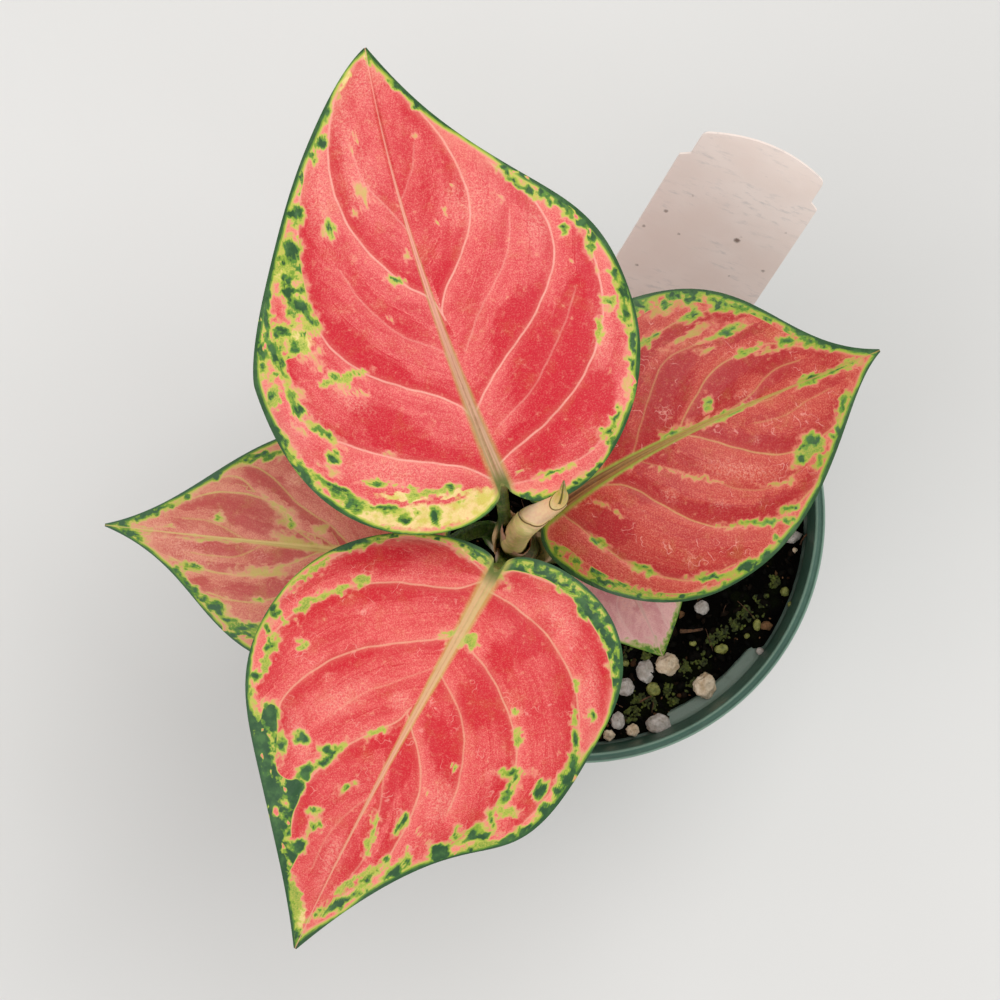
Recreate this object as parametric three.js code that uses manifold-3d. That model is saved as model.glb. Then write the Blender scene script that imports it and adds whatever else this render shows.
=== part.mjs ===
// A young Chinese evergreen (Aglaonema) with red, lime-edged leaves, growing in its nursery pot.
// Millimetres, +Z up. The origin is the middle of the pot's underside, on the surface it stands on.

import * as THREE from "three";
import { mergeVertices } from "three/addons/utils/BufferGeometryUtils.js";
import Module from "manifold-3d";

const wasm = await Module();
wasm.setup();

// ---------------------------------------------------------------- driving dimensions

const CLEARANCE = 0.3; // gap between pieces that touch
const BLADE_THICKNESS = 0.9;
const BLADE_COLUMNS = 12; // across a blade, edge to edge
const BLADE_ROWS = 20; // sinus to tip

const POT = {
  height: 85,
  rimRadius: 54, // a 108 mm rim: the common 4 inch nursery pot
  rimWidth: 2.2,
  collarHeight: 12,
  bodyRadius: 49.6, // just under the collar
  baseRadius: 36,
  wall: 1.6,
  floor: 3,
  ledgeWidth: 2.8,
  facets: 48,
  holes: 8,
  holeWidth: 9,
  holeLength: 12,
};

const SOIL = {
  depthBelowRim: 12.4,
  relief: 0.55, // height of the lumps
  bermHeight: 2, // loose soil that lies on the pot's ledge
  bareFrom: -72, // the stretch of ledge that shows, in degrees from +X
  bareTo: -28,
  grains: 38,
  seed: 7,
};

// The cane leans a little away from the middle of the pot; its foot is under the soil.
const STEM = {
  path: [
    [-10.5, -4.6, 47],
    [-10.8, -4.7, 70],
    [-12.6, -5.4, 92],
    [-14.0, -5.9, 111.5],
  ],
  footRadius: 5.6,
  topRadius: 4.3,
  rings: 6, // leaf scars
  ringHeight: 0.35,
};

// The youngest leaf, still rolled up: where its roll runs, and where a turn of the roll ends.
const ROLLED_LEAF = {
  path: [
    [-14.0, -5.8, 111],
    [-13.1, -4.4, 124],
    [-10.9, -1.7, 140],
    [-8.8, 0.7, 157],
    [-6.3, 3.0, 171],
    [-5.3, 4.4, 178],
    [-5.0, 7.2, 187],
  ],
  coreRadius: 1.3,
  step: 0.45, // how far each turn stands proud of the one inside it
  turnEnds: [0.38, 0.84], // fractions of the length
  slant: 0.05, // the rolled edge climbs as it goes round
};

// Leaves 1 (youngest) to 5 (oldest). Plan outlines are in leaf millimetres: x runs from the junction
// with the petiole to the tip, y to the left of it. Each side is two Bezier arcs:
// sinus - [back, out] - [run, half] - [widest, half] then [shoulder, half] - [point, slope] - tip.
const LEAVES = [
  {
    junction: [-16.6, 6.4, 162],
    heading: 107.5,
    length: 91.8,
    drop: 8,
    arch: 14,
    fold: 0.2,
    roll: 0.24,
    bow: [3.0, 4.0],
    left: { back: -9.5, out: 5, run: -8.5, widest: 33, half: 41, shoulder: 40.5, point: 83, slope: 16.5 },
    right: { back: -14.5, out: 11.5, run: 5, widest: 27.5, half: 35.5, shoulder: 57.5, point: 53, slope: 15.5 },
    wave: { height: 1.3, count: 4, phase: 0.6 },
    petiole: {
      path: [
        [-14.0, -5.8, 101],
        [-15.6, -3.4, 114],
        [-16.2, -0.2, 136],
        [-16.8, 4.2, 153],
        [-17.0, 7.2, 161.6],
      ],
      foot: [4.6, 3.2],
      neck: [1.9, 1.7],
    },
    colour: 0xe4716c,
  },
  {
    junction: [-18.2, -10.6, 150],
    heading: -117.8,
    length: 88.6,
    drop: 20,
    arch: 20,
    fold: 0.14,
    roll: 0.3,
    bow: [-0.8, -1.6],
    left: { back: -9, out: 0, run: -11.5, widest: 17, half: 34.5, shoulder: 65.5, point: 35, slope: 20 },
    right: { back: -6, out: 2.5, run: 0.5, widest: 31, half: 37, shoulder: 50, point: 58.5, slope: 19 },
    wave: { height: 1.2, count: 3.5, phase: 2.2 },
    petiole: {
      path: [
        [-13.4, -5.7, 96],
        [-14.9, -9.4, 109],
        [-16.3, -10.6, 128],
        [-17.6, -10.7, 142],
        [-18.6, -11.3, 149.6],
      ],
      foot: [4.4, 2.8],
      neck: [1.9, 1.7],
    },
    colour: 0xe4656a,
  },
  {
    junction: [-6.5, 1.3, 134],
    heading: 26,
    length: 77.4,
    drop: 22,
    arch: 16,
    fold: 0.16,
    roll: 0.24,
    bow: [5.0, 1.2],
    left: { back: -9, out: 10, run: 2, widest: 21.5, half: 33, shoulder: 63.5, point: 53, slope: 11 },
    right: { back: -12, out: 5, run: 5, widest: 24.5, half: 30, shoulder: 52.5, point: 62.5, slope: 6 },
    wave: { height: 1.1, count: 3, phase: 4.0 },
    petiole: {
      path: [
        [-12.8, -5.5, 90],
        [-8.3, -6.2, 101],
        [-7.4, -5.8, 114],
        [-7.0, -2.4, 126],
        [-5.7, 1.7, 133.6],
      ],
      foot: [4.4, 2.7],
      neck: [1.8, 1.6],
    },
    colour: 0xc6584f,
  },
  {
    junction: [-31.4, -8.9, 120],
    heading: 174.3,
    length: 71.6,
    drop: 26,
    arch: 12,
    fold: 0.1,
    roll: 0.26,
    bow: [0, 0],
    left: { back: -8, out: 10, run: 4, widest: 23, half: 26, shoulder: 47, point: 47.5, slope: 6.5 },
    right: { back: -8, out: 10, run: 4, widest: 21.5, half: 25.5, shoulder: 41, point: 50, slope: 6.5 },
    wave: { height: 1.0, count: 3, phase: 1.0 },
    petiole: {
      path: [
        [-12.2, -5.3, 84],
        [-17.6, -4.8, 96],
        [-20.6, -2.6, 107],
        [-25.4, -4.2, 116.4],
        [-32.2, -8.8, 119.6],
      ],
      foot: [4.3, 2.6],
      neck: [1.7, 1.5],
    },
    colour: 0xcf8b70,
  },
  {
    junction: [6.6, -5.6, 101],
    heading: -64.6,
    length: 27.6,
    drop: 17,
    arch: 5,
    fold: 0.1,
    roll: 0.2,
    bow: [0, 0],
    left: { back: -4, out: 5, run: 1, widest: 10, half: 11.4, shoulder: 17, point: 20.5, slope: 6.5 },
    right: { back: -4, out: 5, run: 1, widest: 10, half: 12.8, shoulder: 17, point: 21, slope: 6.5 },
    wave: { height: 0.5, count: 2, phase: 0.4 },
    petiole: {
      path: [
        [-11.7, -5.0, 78],
        [-6.4, -8.0, 86],
        [-2.6, -8.6, 94],
        [2.2, -7.0, 99.6],
        [6.9, -6.2, 100.6],
      ],
      foot: [4.0, 2.2],
      neck: [1.4, 1.3],
    },
    colour: 0xd79a9c,
  },
];

// The plant label stands in the soil and leans on the pot's rim. It is blank.
const LABEL = {
  width: 31.75,
  length: 127,
  thickness: 0.6,
  headLength: 11.5,
  headInset: 2,
  headSide: 6.3, // straight part of the head's sides
  headCorner: [1.2, 2.2],
  stakeLength: 22, // the pointed foot
  heading: 57.9,
  lean: 46.3,
  tilt: -14.8,
  shoulder: [34.8, 70.2, 119.8], // the middle of its shoulder line
};

const COLOURS = {
  pot: 0x6b8273,
  soil: 0x1b120b,
  stem: 0x5c7030,
  petiole: 0x48601f,
  rolledLeaf: 0xe5c19a,
  label: 0xdcd2c8,
};

// ---------------------------------------------------------------- solids and meshes

const degrees = THREE.MathUtils.degToRad;
const vector = (p) => new THREE.Vector3(...p);

function solidOf(geometry) {
  const bare = geometry.clone();
  bare.deleteAttribute("normal");
  bare.deleteAttribute("uv");
  const merged = mergeVertices(bare, 1e-4);
  return new wasm.Manifold(
    new wasm.Mesh({
      numProp: 3,
      vertProperties: merged.attributes.position.array,
      triVerts: new Uint32Array(merged.index.array),
    }),
  );
}

function geometryOf(solid) {
  const mesh = solid.getMesh();
  const geometry = new THREE.BufferGeometry();
  geometry.setAttribute("position", new THREE.BufferAttribute(mesh.vertProperties, 3));
  geometry.setIndex(new THREE.BufferAttribute(mesh.triVerts, 1));
  return geometry;
}

// A cut can leave slivers behind: the piece is the largest body.
function largestBody(solid) {
  return solid.decompose().reduce((best, body) => (body.volume() > best.volume() ? body : best));
}

function named(name, solid, colour, roughness) {
  const material = new THREE.MeshStandardMaterial({ color: colour, roughness, metalness: 0 });
  const mesh = new THREE.Mesh(geometryOf(solid), material);
  mesh.name = name;
  return mesh;
}

// Moves every vertex of a geometry by a rule that takes and returns a Vector3.
function reshaped(geometry, rule) {
  const position = geometry.attributes.position;
  const point = new THREE.Vector3();
  for (let i = 0; i < position.count; i++) {
    const moved = rule(point.fromBufferAttribute(position, i));
    position.setXYZ(i, moved.x, moved.y, moved.z);
  }
  return geometry;
}

// A closed round bar bent along a curve. section(along, around) gives its half sizes
// [sideways, facing] at a fraction of the length and an angle round it.
function bent(curve, heading, sides, steps, section) {
  const facing = new THREE.Vector3(Math.cos(heading), Math.sin(heading), 0);
  const bar = new THREE.CylinderGeometry(1, 1, 1, sides, steps);
  return reshaped(bar, (point) => {
    const along = THREE.MathUtils.clamp(point.y + 0.5, 0, 1);
    const around = Math.atan2(point.x, point.z);
    const tangent = curve.getTangentAt(along);
    const side = new THREE.Vector3().crossVectors(tangent, facing).normalize();
    const face = new THREE.Vector3().crossVectors(side, tangent).normalize();
    const [wide, deep] = section(along, around);
    return curve
      .getPointAt(along)
      .addScaledVector(side, point.x * wide)
      .addScaledVector(face, point.z * deep);
  });
}

const curveThrough = (path) => new THREE.CatmullRomCurve3(path.map(vector));

// A repeatable run of numbers from 0 to 1.
function sequence(seed) {
  let state = seed;
  return () => {
    state = (state * 16807) % 2147483647;
    return state / 2147483647;
  };
}

// ---------------------------------------------------------------- blades

// The plan outline of one side, from the sinus behind the junction to the tip, by arc length.
function bladeEdge(leaf, side, sign) {
  const at = (x, y) => new THREE.Vector2(x, sign * y);
  const edge = new THREE.CurvePath();
  const { back, out, run, widest, half, shoulder, point, slope } = side;
  const sinus = at(-1.5, 1);
  const widestPoint = at(widest, half);
  const tip = at(leaf.length, 0.3);
  edge.add(new THREE.CubicBezierCurve(sinus, at(back, out), at(run, half), widestPoint));
  edge.add(new THREE.CubicBezierCurve(widestPoint, at(shoulder, half), at(point, slope), tip));
  return edge;
}

// Side veins leave the midrib near its foot and sweep forward, so a row of the blade that ends at
// `along` on the edge starts here on the midrib, as a fraction of its length.
function veinRoot(along) {
  const footFan = 0.42;
  const forward = Math.max(0, (along - footFan) / (1 - footFan));
  return 0.06 * along + 0.94 * forward ** 2.1;
}

// Height of the blade above its junction, from its place in plan.
function bladeHeight(leaf, x, y, middle, outward, along) {
  const reach = x / leaf.length;
  const halfWidth = (leaf.left.half + leaf.right.half) / 2;
  const across = Math.abs(y - middle);
  const spine = leaf.arch * reach * (1 - reach) - leaf.drop * reach ** 2;
  const section = leaf.fold * across - (leaf.roll * across ** 2) / halfWidth;
  const { height, count, phase } = leaf.wave;
  const wave = height * outward ** 3 * Math.sin(Math.PI * along) * Math.sin(2 * Math.PI * count * along + phase);
  return spine + section + wave;
}

// A blade, grown by `extra` on every side where another piece is cut clear of it.
function blade(leaf, extra = 0) {
  const midrib = new THREE.CubicBezierCurve(
    new THREE.Vector2(0, 0),
    new THREE.Vector2(leaf.length / 3, leaf.bow[0]),
    new THREE.Vector2((2 * leaf.length) / 3, leaf.bow[1]),
    new THREE.Vector2(leaf.length, 0),
  );
  const edges = [bladeEdge(leaf, leaf.right, -1), bladeEdge(leaf, leaf.left, 1)];
  const heading = degrees(leaf.heading);
  const forward = new THREE.Vector3(Math.cos(heading), Math.sin(heading), 0);
  const leftward = new THREE.Vector3(-Math.sin(heading), Math.cos(heading), 0);

  // u runs from -1 at the right edge to 1 at the left edge, and along from the sinus to the tip.
  const surfacePoint = (u, along) => {
    const outward = Math.abs(u) ** 1.3;
    const root = midrib.getPoint(veinRoot(along));
    const end = edges[u > 0 ? 1 : 0].getPointAt(along);
    const bend = new THREE.Vector2(
      THREE.MathUtils.lerp(root.x, end.x, 0.22),
      THREE.MathUtils.lerp(root.y, end.y, 0.78),
    );
    const plan = new THREE.QuadraticBezierCurve(root, bend, end).getPoint(outward);
    const reach = THREE.MathUtils.clamp(plan.x / leaf.length, 0, 1);
    const middle = midrib.getPoint(reach).y;
    const height = bladeHeight(leaf, plan.x, plan.y, middle, outward, along);
    return vector(leaf.junction)
      .addScaledVector(forward, plan.x)
      .addScaledVector(leftward, plan.y)
      .add(new THREE.Vector3(0, 0, height));
  };

  const grid = new THREE.PlaneGeometry(2, 1, BLADE_COLUMNS, BLADE_ROWS);
  const count = grid.attributes.position.count;
  const points = [];
  const lower = [];
  for (let i = 0; i < count; i++) {
    const u = grid.attributes.position.getX(i);
    const along = 0.5 - grid.attributes.position.getY(i);
    const top = surfacePoint(u, along);
    const rib = u === 0 ? 1.1 * (1 - along) : 0;
    points.push(top.x, top.y, top.z + extra);
    lower.push(top.x, top.y, top.z - BLADE_THICKNESS - rib - extra);
  }
  points.push(...lower);

  // The lower face repeats the upper one's triangles, turned over, and a wall joins their edges.
  const faces = [];
  const upper = grid.index.array;
  for (let i = 0; i < upper.length; i += 3) {
    const [a, b, c] = upper.subarray(i, i + 3);
    faces.push(a, b, c, a + count, c + count, b + count);
  }
  const columns = BLADE_COLUMNS + 1;
  const wall = (a, b) => faces.push(a, b, b + count, a, b + count, a + count);
  for (let row = 0; row < BLADE_ROWS; row++) {
    wall((row + 1) * columns, row * columns);
    wall(row * columns + BLADE_COLUMNS, (row + 1) * columns + BLADE_COLUMNS);
  }
  for (let column = 0; column < BLADE_COLUMNS; column++) {
    wall(column, column + 1);
    const last = BLADE_ROWS * columns + column;
    wall(last + 1, last);
  }
  const geometry = new THREE.BufferGeometry();
  geometry.setAttribute("position", new THREE.Float32BufferAttribute(points, 3));
  geometry.setIndex(faces);
  return solidOf(geometry);
}

// ---------------------------------------------------------------- cane, petioles, rolled leaf

function stem(extra = 0) {
  const { footRadius, topRadius, rings, ringHeight } = STEM;
  const steps = rings * 3;
  const section = (along) => {
    const radius = THREE.MathUtils.lerp(footRadius, topRadius, along);
    const ring = ringHeight * Math.cos(2 * Math.PI * rings * along) ** 2;
    return [radius + ring + extra, radius + ring + extra];
  };
  return solidOf(bent(curveThrough(STEM.path), 0, 12, steps, section));
}

// The petiole's foot is a broad sheath that clasps the cane; its neck carries the blade.
function petiole(leaf, extra = 0) {
  const { path, foot, neck } = leaf.petiole;
  const section = (along) => {
    const clasp = 1 - THREE.MathUtils.smoothstep(along, 0.12, 0.62);
    const wide = THREE.MathUtils.lerp(neck[0], foot[0], clasp);
    const deep = THREE.MathUtils.lerp(neck[1], foot[1], clasp);
    return [wide + extra, deep + extra];
  };
  return solidOf(bent(curveThrough(path), degrees(leaf.heading), 8, 14, section));
}

// The roll's edge winds round it, so each turn of the roll ends in a slanting step.
function rolledLeaf(extra = 0) {
  const { path, coreRadius, step, turnEnds, slant } = ROLLED_LEAF;
  const section = (along, around) => {
    const climb = slant * Math.cos(around - 0.9);
    const turnsLeft = turnEnds.filter((end) => along < end + climb).length;
    const taper = Math.max(0, (along - turnEnds[1]) / (1.02 - turnEnds[1]));
    const radius = coreRadius * (1 - taper ** 1.4) + step * turnsLeft + extra;
    return [radius, radius];
  };
  return solidOf(bent(curveThrough(path), 0, 12, 24, section));
}

// ---------------------------------------------------------------- pot, soil, label

// Turns a profile of [radius, height] pairs about the pot's axis.
function turned(profile) {
  const points = profile.map(([radius, height]) => new THREE.Vector2(radius, height));
  return new THREE.LatheGeometry(points, POT.facets).rotateX(Math.PI / 2);
}

// Heights and radii that the pot and the soil share.
const ledgeHeight = POT.height - POT.collarHeight;
const collarInner = POT.rimRadius - POT.rimWidth - 0.9; // foot of the collar's inner wall
const ledgeInner = collarInner - POT.ledgeWidth;
const baseInner = POT.baseRadius - POT.wall;

function pot() {
  const { height, rimRadius, rimWidth, bodyRadius, baseRadius, floor } = POT;
  const shell = solidOf(
    turned([
      [0, 0],
      [baseRadius - 3, 0],
      [baseRadius, 2.4],
      [bodyRadius, ledgeHeight - 2.6],
      [rimRadius - 1.2, ledgeHeight - 1.2],
      [rimRadius - 0.9, height - 2.4],
      [rimRadius, height - 1.8],
      [rimRadius, height - 0.5],
      [rimRadius - 0.5, height],
      [rimRadius - rimWidth + 0.4, height],
      [rimRadius - rimWidth, height - 0.5],
      [collarInner, ledgeHeight + 0.4],
      [collarInner - 0.4, ledgeHeight],
      [ledgeInner, ledgeHeight - 0.3],
      [baseInner, floor],
      [0, floor],
    ]),
  );
  return drainageHoles().reduce((body, hole) => body.subtract(hole), shell);
}

// Slots through the corner between the floor and the wall, evenly spaced.
function drainageHoles() {
  const { holes, holeWidth, holeLength, baseRadius } = POT;
  return Array.from({ length: holes }, (_, i) => {
    const slot = new THREE.BoxGeometry(holeLength, holeWidth, 12);
    slot.translate(baseRadius - 2, 0, 0);
    slot.rotateZ((2 * Math.PI * (i + 0.5)) / holes);
    return solidOf(slot);
  });
}

const soilTop = POT.height - SOIL.depthBelowRim;

// Lumps on the soil: a few crossed waves that never repeat within the pot.
function soilRelief(x, y) {
  const lumps = Math.sin(0.31 * x + 0.17 * y) + Math.sin(0.23 * y - 0.29 * x + 1.1);
  const crumbs = Math.sin(0.83 * x + 0.4) * Math.sin(0.77 * y + 2.0);
  return SOIL.relief * (0.6 * lumps + 0.8 * crumbs);
}

// 1 where loose soil covers the ledge, 0 where the ledge shows.
function bermCover(angle) {
  const middle = degrees((SOIL.bareFrom + SOIL.bareTo) / 2);
  const spread = degrees((SOIL.bareTo - SOIL.bareFrom) / 2);
  const away = Math.abs(Math.atan2(Math.sin(angle - middle), Math.cos(angle - middle)));
  return THREE.MathUtils.smoothstep(away, spread * 0.75, spread * 1.25);
}

function soilBed() {
  const rings = 7;
  const edge = ledgeInner - CLEARANCE;
  const topProfile = Array.from({ length: rings }, (_, i) => [(edge * (rings - i)) / rings, soilTop]);
  const foot = POT.floor + CLEARANCE;
  const profile = [[0, foot], [baseInner - CLEARANCE, foot], ...topProfile, [0, soilTop]];
  return solidOf(
    reshaped(turned(profile), (point) => {
      if (point.z > soilTop - 1) point.z += soilRelief(point.x, point.y);
      return point;
    }),
  );
}

// The loose soil against the collar: a ring that sinks into the bed where the ledge is bare.
function soilBerm() {
  const outer = collarInner - 0.4 - CLEARANCE;
  const low = ledgeHeight + CLEARANCE;
  const section = [
    [outer - 6.5, low - 4],
    [outer - 3, low],
    [outer, low],
    [outer, low + SOIL.bermHeight * 0.6],
    [outer - 2.5, low + SOIL.bermHeight],
    [outer - 6.5, low - 1.5],
    [outer - 6.5, low - 4],
  ];
  const sunkRadius = ledgeInner - 4;
  const sunkHeight = soilTop - 3;
  return solidOf(
    reshaped(turned(section), (point) => {
      const radius = Math.hypot(point.x, point.y);
      const cover = bermCover(Math.atan2(point.y, point.x));
      const raised = Math.min(1, cover / 0.02); // it sinks only where it is off the ledge
      const sunk = Math.min(radius, sunkRadius + (radius - outer) * 0.3);
      const drawn = THREE.MathUtils.lerp(sunk, radius, cover) / radius;
      const lump = point.z > ledgeHeight + 1 ? 0.6 * soilRelief(point.y, point.x) : 0;
      const height = THREE.MathUtils.lerp(Math.min(point.z, sunkHeight), point.z + lump, raised);
      return new THREE.Vector3(point.x * drawn, point.y * drawn, height);
    }),
  );
}

// Perlite, prills and bits of bark, sunk by a third into the bed.
function soilGrains() {
  const draw = sequence(SOIL.seed);
  return Array.from({ length: SOIL.grains }, () => {
    const radius = (ledgeInner - 4) * Math.sqrt(draw());
    const angle = 2 * Math.PI * draw();
    const size = 1 + 1.5 * draw() ** 2;
    const grain = new THREE.IcosahedronGeometry(size, 0);
    grain.rotateX(3 * draw()).rotateY(3 * draw()).scale(1.2, 1, 0.85).rotateZ(6 * draw());
    const x = radius * Math.cos(angle);
    const y = radius * Math.sin(angle);
    grain.translate(x, y, soilTop + soilRelief(x, y) + size * 0.2);
    return solidOf(grain);
  });
}

// The label's outline, from its shoulder line: y up to the head, down to the pointed foot.
function labelOutline(extra) {
  const { width, length, headLength, headInset, headSide, headCorner, stakeLength } = LABEL;
  const half = width / 2 + extra;
  const side = half - headInset;
  const corner = [side - headCorner[0], headSide + headCorner[1]];
  const foot = headLength - length - extra;
  const outline = new THREE.Shape();
  outline.moveTo(-2.5, foot);
  outline.lineTo(2.5, foot);
  outline.lineTo(half, foot + stakeLength);
  outline.lineTo(half, 0);
  outline.lineTo(side, 1.4);
  outline.lineTo(side, headSide);
  outline.quadraticCurveTo(side, corner[1] - 0.5, ...corner);
  outline.quadraticCurveTo(0, 2 * headLength - corner[1], -corner[0], corner[1]);
  outline.quadraticCurveTo(-side, corner[1] - 0.5, -side, headSide);
  outline.lineTo(-side, 1.4);
  outline.lineTo(-half, 0);
  outline.lineTo(-half, foot + stakeLength);
  outline.closePath();
  return outline;
}

// Directions of the leaning label: across it, up along it, and out of its face.
function labelPlace() {
  const heading = degrees(LABEL.heading);
  const lean = degrees(LABEL.lean);
  const tilt = degrees(LABEL.tilt);
  const up = new THREE.Vector3(
    Math.cos(lean) * Math.cos(heading),
    Math.cos(lean) * Math.sin(heading),
    Math.sin(lean),
  );
  const across = new THREE.Vector3(Math.sin(heading), -Math.cos(heading), 0).applyAxisAngle(up, -tilt);
  const face = new THREE.Vector3().crossVectors(across, up);
  return new THREE.Matrix4().makeBasis(across, up, face).setPosition(...LABEL.shoulder);
}

function label(extra = 0) {
  const depth = LABEL.thickness + 2 * extra;
  const plate = new THREE.ExtrudeGeometry(labelOutline(extra), {
    depth,
    bevelEnabled: false,
    curveSegments: 6,
  });
  return solidOf(plate.translate(0, 0, -depth / 2).applyMatrix4(labelPlace()));
}

// ---------------------------------------------------------------- the plant in its pot

const plant = new THREE.Group();

const clearStem = stem(CLEARANCE);
plant.add(named("pot", pot(), COLOURS.pot, 0.5));

const bed = soilGrains().reduce((body, grain) => body.add(grain), soilBed().add(soilBerm()));
const soil = largestBody(bed.subtract(clearStem).subtract(label(CLEARANCE)));
plant.add(named("soil", soil, COLOURS.soil, 0.95));
plant.add(named("stem", stem(), COLOURS.stem, 0.6));
plant.add(named("new_leaf", rolledLeaf().subtract(clearStem), COLOURS.rolledLeaf, 0.45));

// A sheath clasps all that is younger than it, so each petiole is cut clear of those before it.
const younger = [clearStem, rolledLeaf(CLEARANCE)];
LEAVES.forEach((leaf, i) => {
  const clearBlade = blade(leaf, CLEARANCE);
  const stalk = younger.reduce((body, other) => body.subtract(other), petiole(leaf));
  plant.add(named(`petiole_${i + 1}`, largestBody(stalk.subtract(clearBlade)), COLOURS.petiole, 0.5));
  plant.add(named(`blade_${i + 1}`, blade(leaf), leaf.colour, 0.45));
  younger.push(petiole(leaf, CLEARANCE));
});

plant.add(named("label", label(), COLOURS.label, 0.5));

export default plant;
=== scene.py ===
"""A potted Chinese evergreen with red, lime-edged leaves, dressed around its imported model.

Shapes are worked out in millimetres, in the model's own frame, and scaled to metres when a piece
is finished. Marks on the leaves and grains on the soil are placed by the pixel of the photograph
where they show, seen from a camera straight above, and lie on the surface that carries them.
"""

import logging
import math
import random
from collections.abc import Callable, Iterator, Sequence
from dataclasses import dataclass, field
from enum import Enum
from functools import partial
from typing import Any

import bmesh
import bpy
import numpy as np
from mathutils import Matrix, Vector, noise


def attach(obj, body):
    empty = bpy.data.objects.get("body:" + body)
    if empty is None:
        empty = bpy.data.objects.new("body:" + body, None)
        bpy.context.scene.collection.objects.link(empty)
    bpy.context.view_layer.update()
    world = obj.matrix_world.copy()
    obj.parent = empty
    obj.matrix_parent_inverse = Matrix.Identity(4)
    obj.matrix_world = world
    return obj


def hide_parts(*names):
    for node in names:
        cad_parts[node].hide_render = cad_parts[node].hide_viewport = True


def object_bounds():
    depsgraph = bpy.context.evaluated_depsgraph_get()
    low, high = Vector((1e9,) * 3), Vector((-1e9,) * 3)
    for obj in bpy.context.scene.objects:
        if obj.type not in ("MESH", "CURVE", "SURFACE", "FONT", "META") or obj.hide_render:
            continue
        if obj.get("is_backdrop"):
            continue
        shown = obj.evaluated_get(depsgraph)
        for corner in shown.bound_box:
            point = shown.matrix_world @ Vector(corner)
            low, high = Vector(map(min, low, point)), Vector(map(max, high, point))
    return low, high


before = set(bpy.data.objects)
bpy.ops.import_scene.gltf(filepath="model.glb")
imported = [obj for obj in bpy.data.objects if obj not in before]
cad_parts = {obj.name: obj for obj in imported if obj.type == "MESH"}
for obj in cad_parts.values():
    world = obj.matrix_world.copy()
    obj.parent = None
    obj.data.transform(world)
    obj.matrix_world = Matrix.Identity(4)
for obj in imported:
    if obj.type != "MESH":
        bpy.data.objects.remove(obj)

LOG = logging.getLogger("evergreen")
METRES = 0.001  # one millimetre
BODY = "root"
TURN = 2 * math.pi  # a full turn, in radians
WELD = 1e-4  # corners of a mesh nearer to each other than this become one
KNOT_STEPS = 12  # samples between two given points of a smooth line

Colour = tuple[int, int, int]
Point = tuple[float, float, float]
Pixel = tuple[float, float]


# ---------------------------------------------------------------- numbers and curves


def smooth(value: Any, low: float, high: float) -> Any:
    """Smooth step from 0 at low to 1 at high, for a number or an array."""
    share = np.clip((value - low) / (high - low), 0.0, 1.0)
    return share * share * (3.0 - 2.0 * share)


def blend(a: Any, b: Any, share: Any) -> Any:
    """Straight mix of two numbers or arrays."""
    return a + (b - a) * share


def bezier(points: Sequence[Sequence[float]], share: np.ndarray) -> np.ndarray:
    """Points on a Bezier arc.

    Args:
        points: three or four control points.
        share: places along the arc, from 0 to 1.

    Returns:
        One row for each place.
    """
    rows = [np.asarray(p, float)[None, :] for p in points]
    t = np.asarray(share, float)[:, None]
    while len(rows) > 1:
        rows = [blend(a, b, t) for a, b in zip(rows, rows[1:])]
    return rows[0]


def smooth_line(points: Sequence[Sequence[float]], steps: int) -> np.ndarray:
    """A smooth line through given points (Catmull-Rom), evenly sampled by length.

    Args:
        points: the points that the line passes through.
        steps: number of points returned.

    Returns:
        One row for each sample.
    """
    knots = np.asarray(points, float)
    before, after = 2 * knots[0] - knots[1], 2 * knots[-1] - knots[-2]
    padded = np.concatenate([[before], knots, [after]])
    share = np.linspace(0, 1, KNOT_STEPS + 1)[:-1, None]
    pieces = []
    for p0, p1, p2, p3 in zip(padded, padded[1:], padded[2:], padded[3:]):
        linear = (p2 - p0) * share
        square = (2 * p0 - 5 * p1 + 4 * p2 - p3) * share**2
        cube = (3 * p1 - p0 - 3 * p2 + p3) * share**3
        pieces.append(p1 + 0.5 * (linear + square + cube))
    return even_line(np.concatenate([*pieces, knots[-1:]]), steps)


def even_line(line: np.ndarray, steps: int) -> np.ndarray:
    """A line sampled evenly by its length.

    Args:
        line: its corners, one row each.
        steps: number of points returned.

    Returns:
        One row for each sample.
    """
    lengths = np.concatenate([[0], np.cumsum(np.linalg.norm(np.diff(line, axis=0), axis=1))])
    places = np.linspace(0, lengths[-1], steps)
    return np.stack([np.interp(places, lengths, line[:, i]) for i in range(line.shape[1])], axis=1)


def line_distance(points: np.ndarray, line: np.ndarray) -> tuple[np.ndarray, np.ndarray]:
    """Distance from points to a line in a plane, and the side that they lie on.

    Args:
        points: one row of two numbers for each point.
        line: the line's corners.

    Returns:
        The distances, and the same with a sign: positive to the left of the line.
    """
    nearest = signed = np.full(len(points), np.inf)
    for a, b in zip(line, line[1:]):
        along = b - a
        offset = points - a
        share = np.clip(offset @ along / max(along @ along, 1e-12), 0, 1)
        gap = np.linalg.norm(offset - share[:, None] * along, axis=1)
        left = along[0] * offset[:, 1] - along[1] * offset[:, 0] > 0
        closer = gap < nearest
        nearest = np.where(closer, gap, nearest)
        signed = np.where(closer, np.where(left, gap, -gap), signed)
    return nearest, signed


# ---------------------------------------------------------------- the photograph's view


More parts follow.
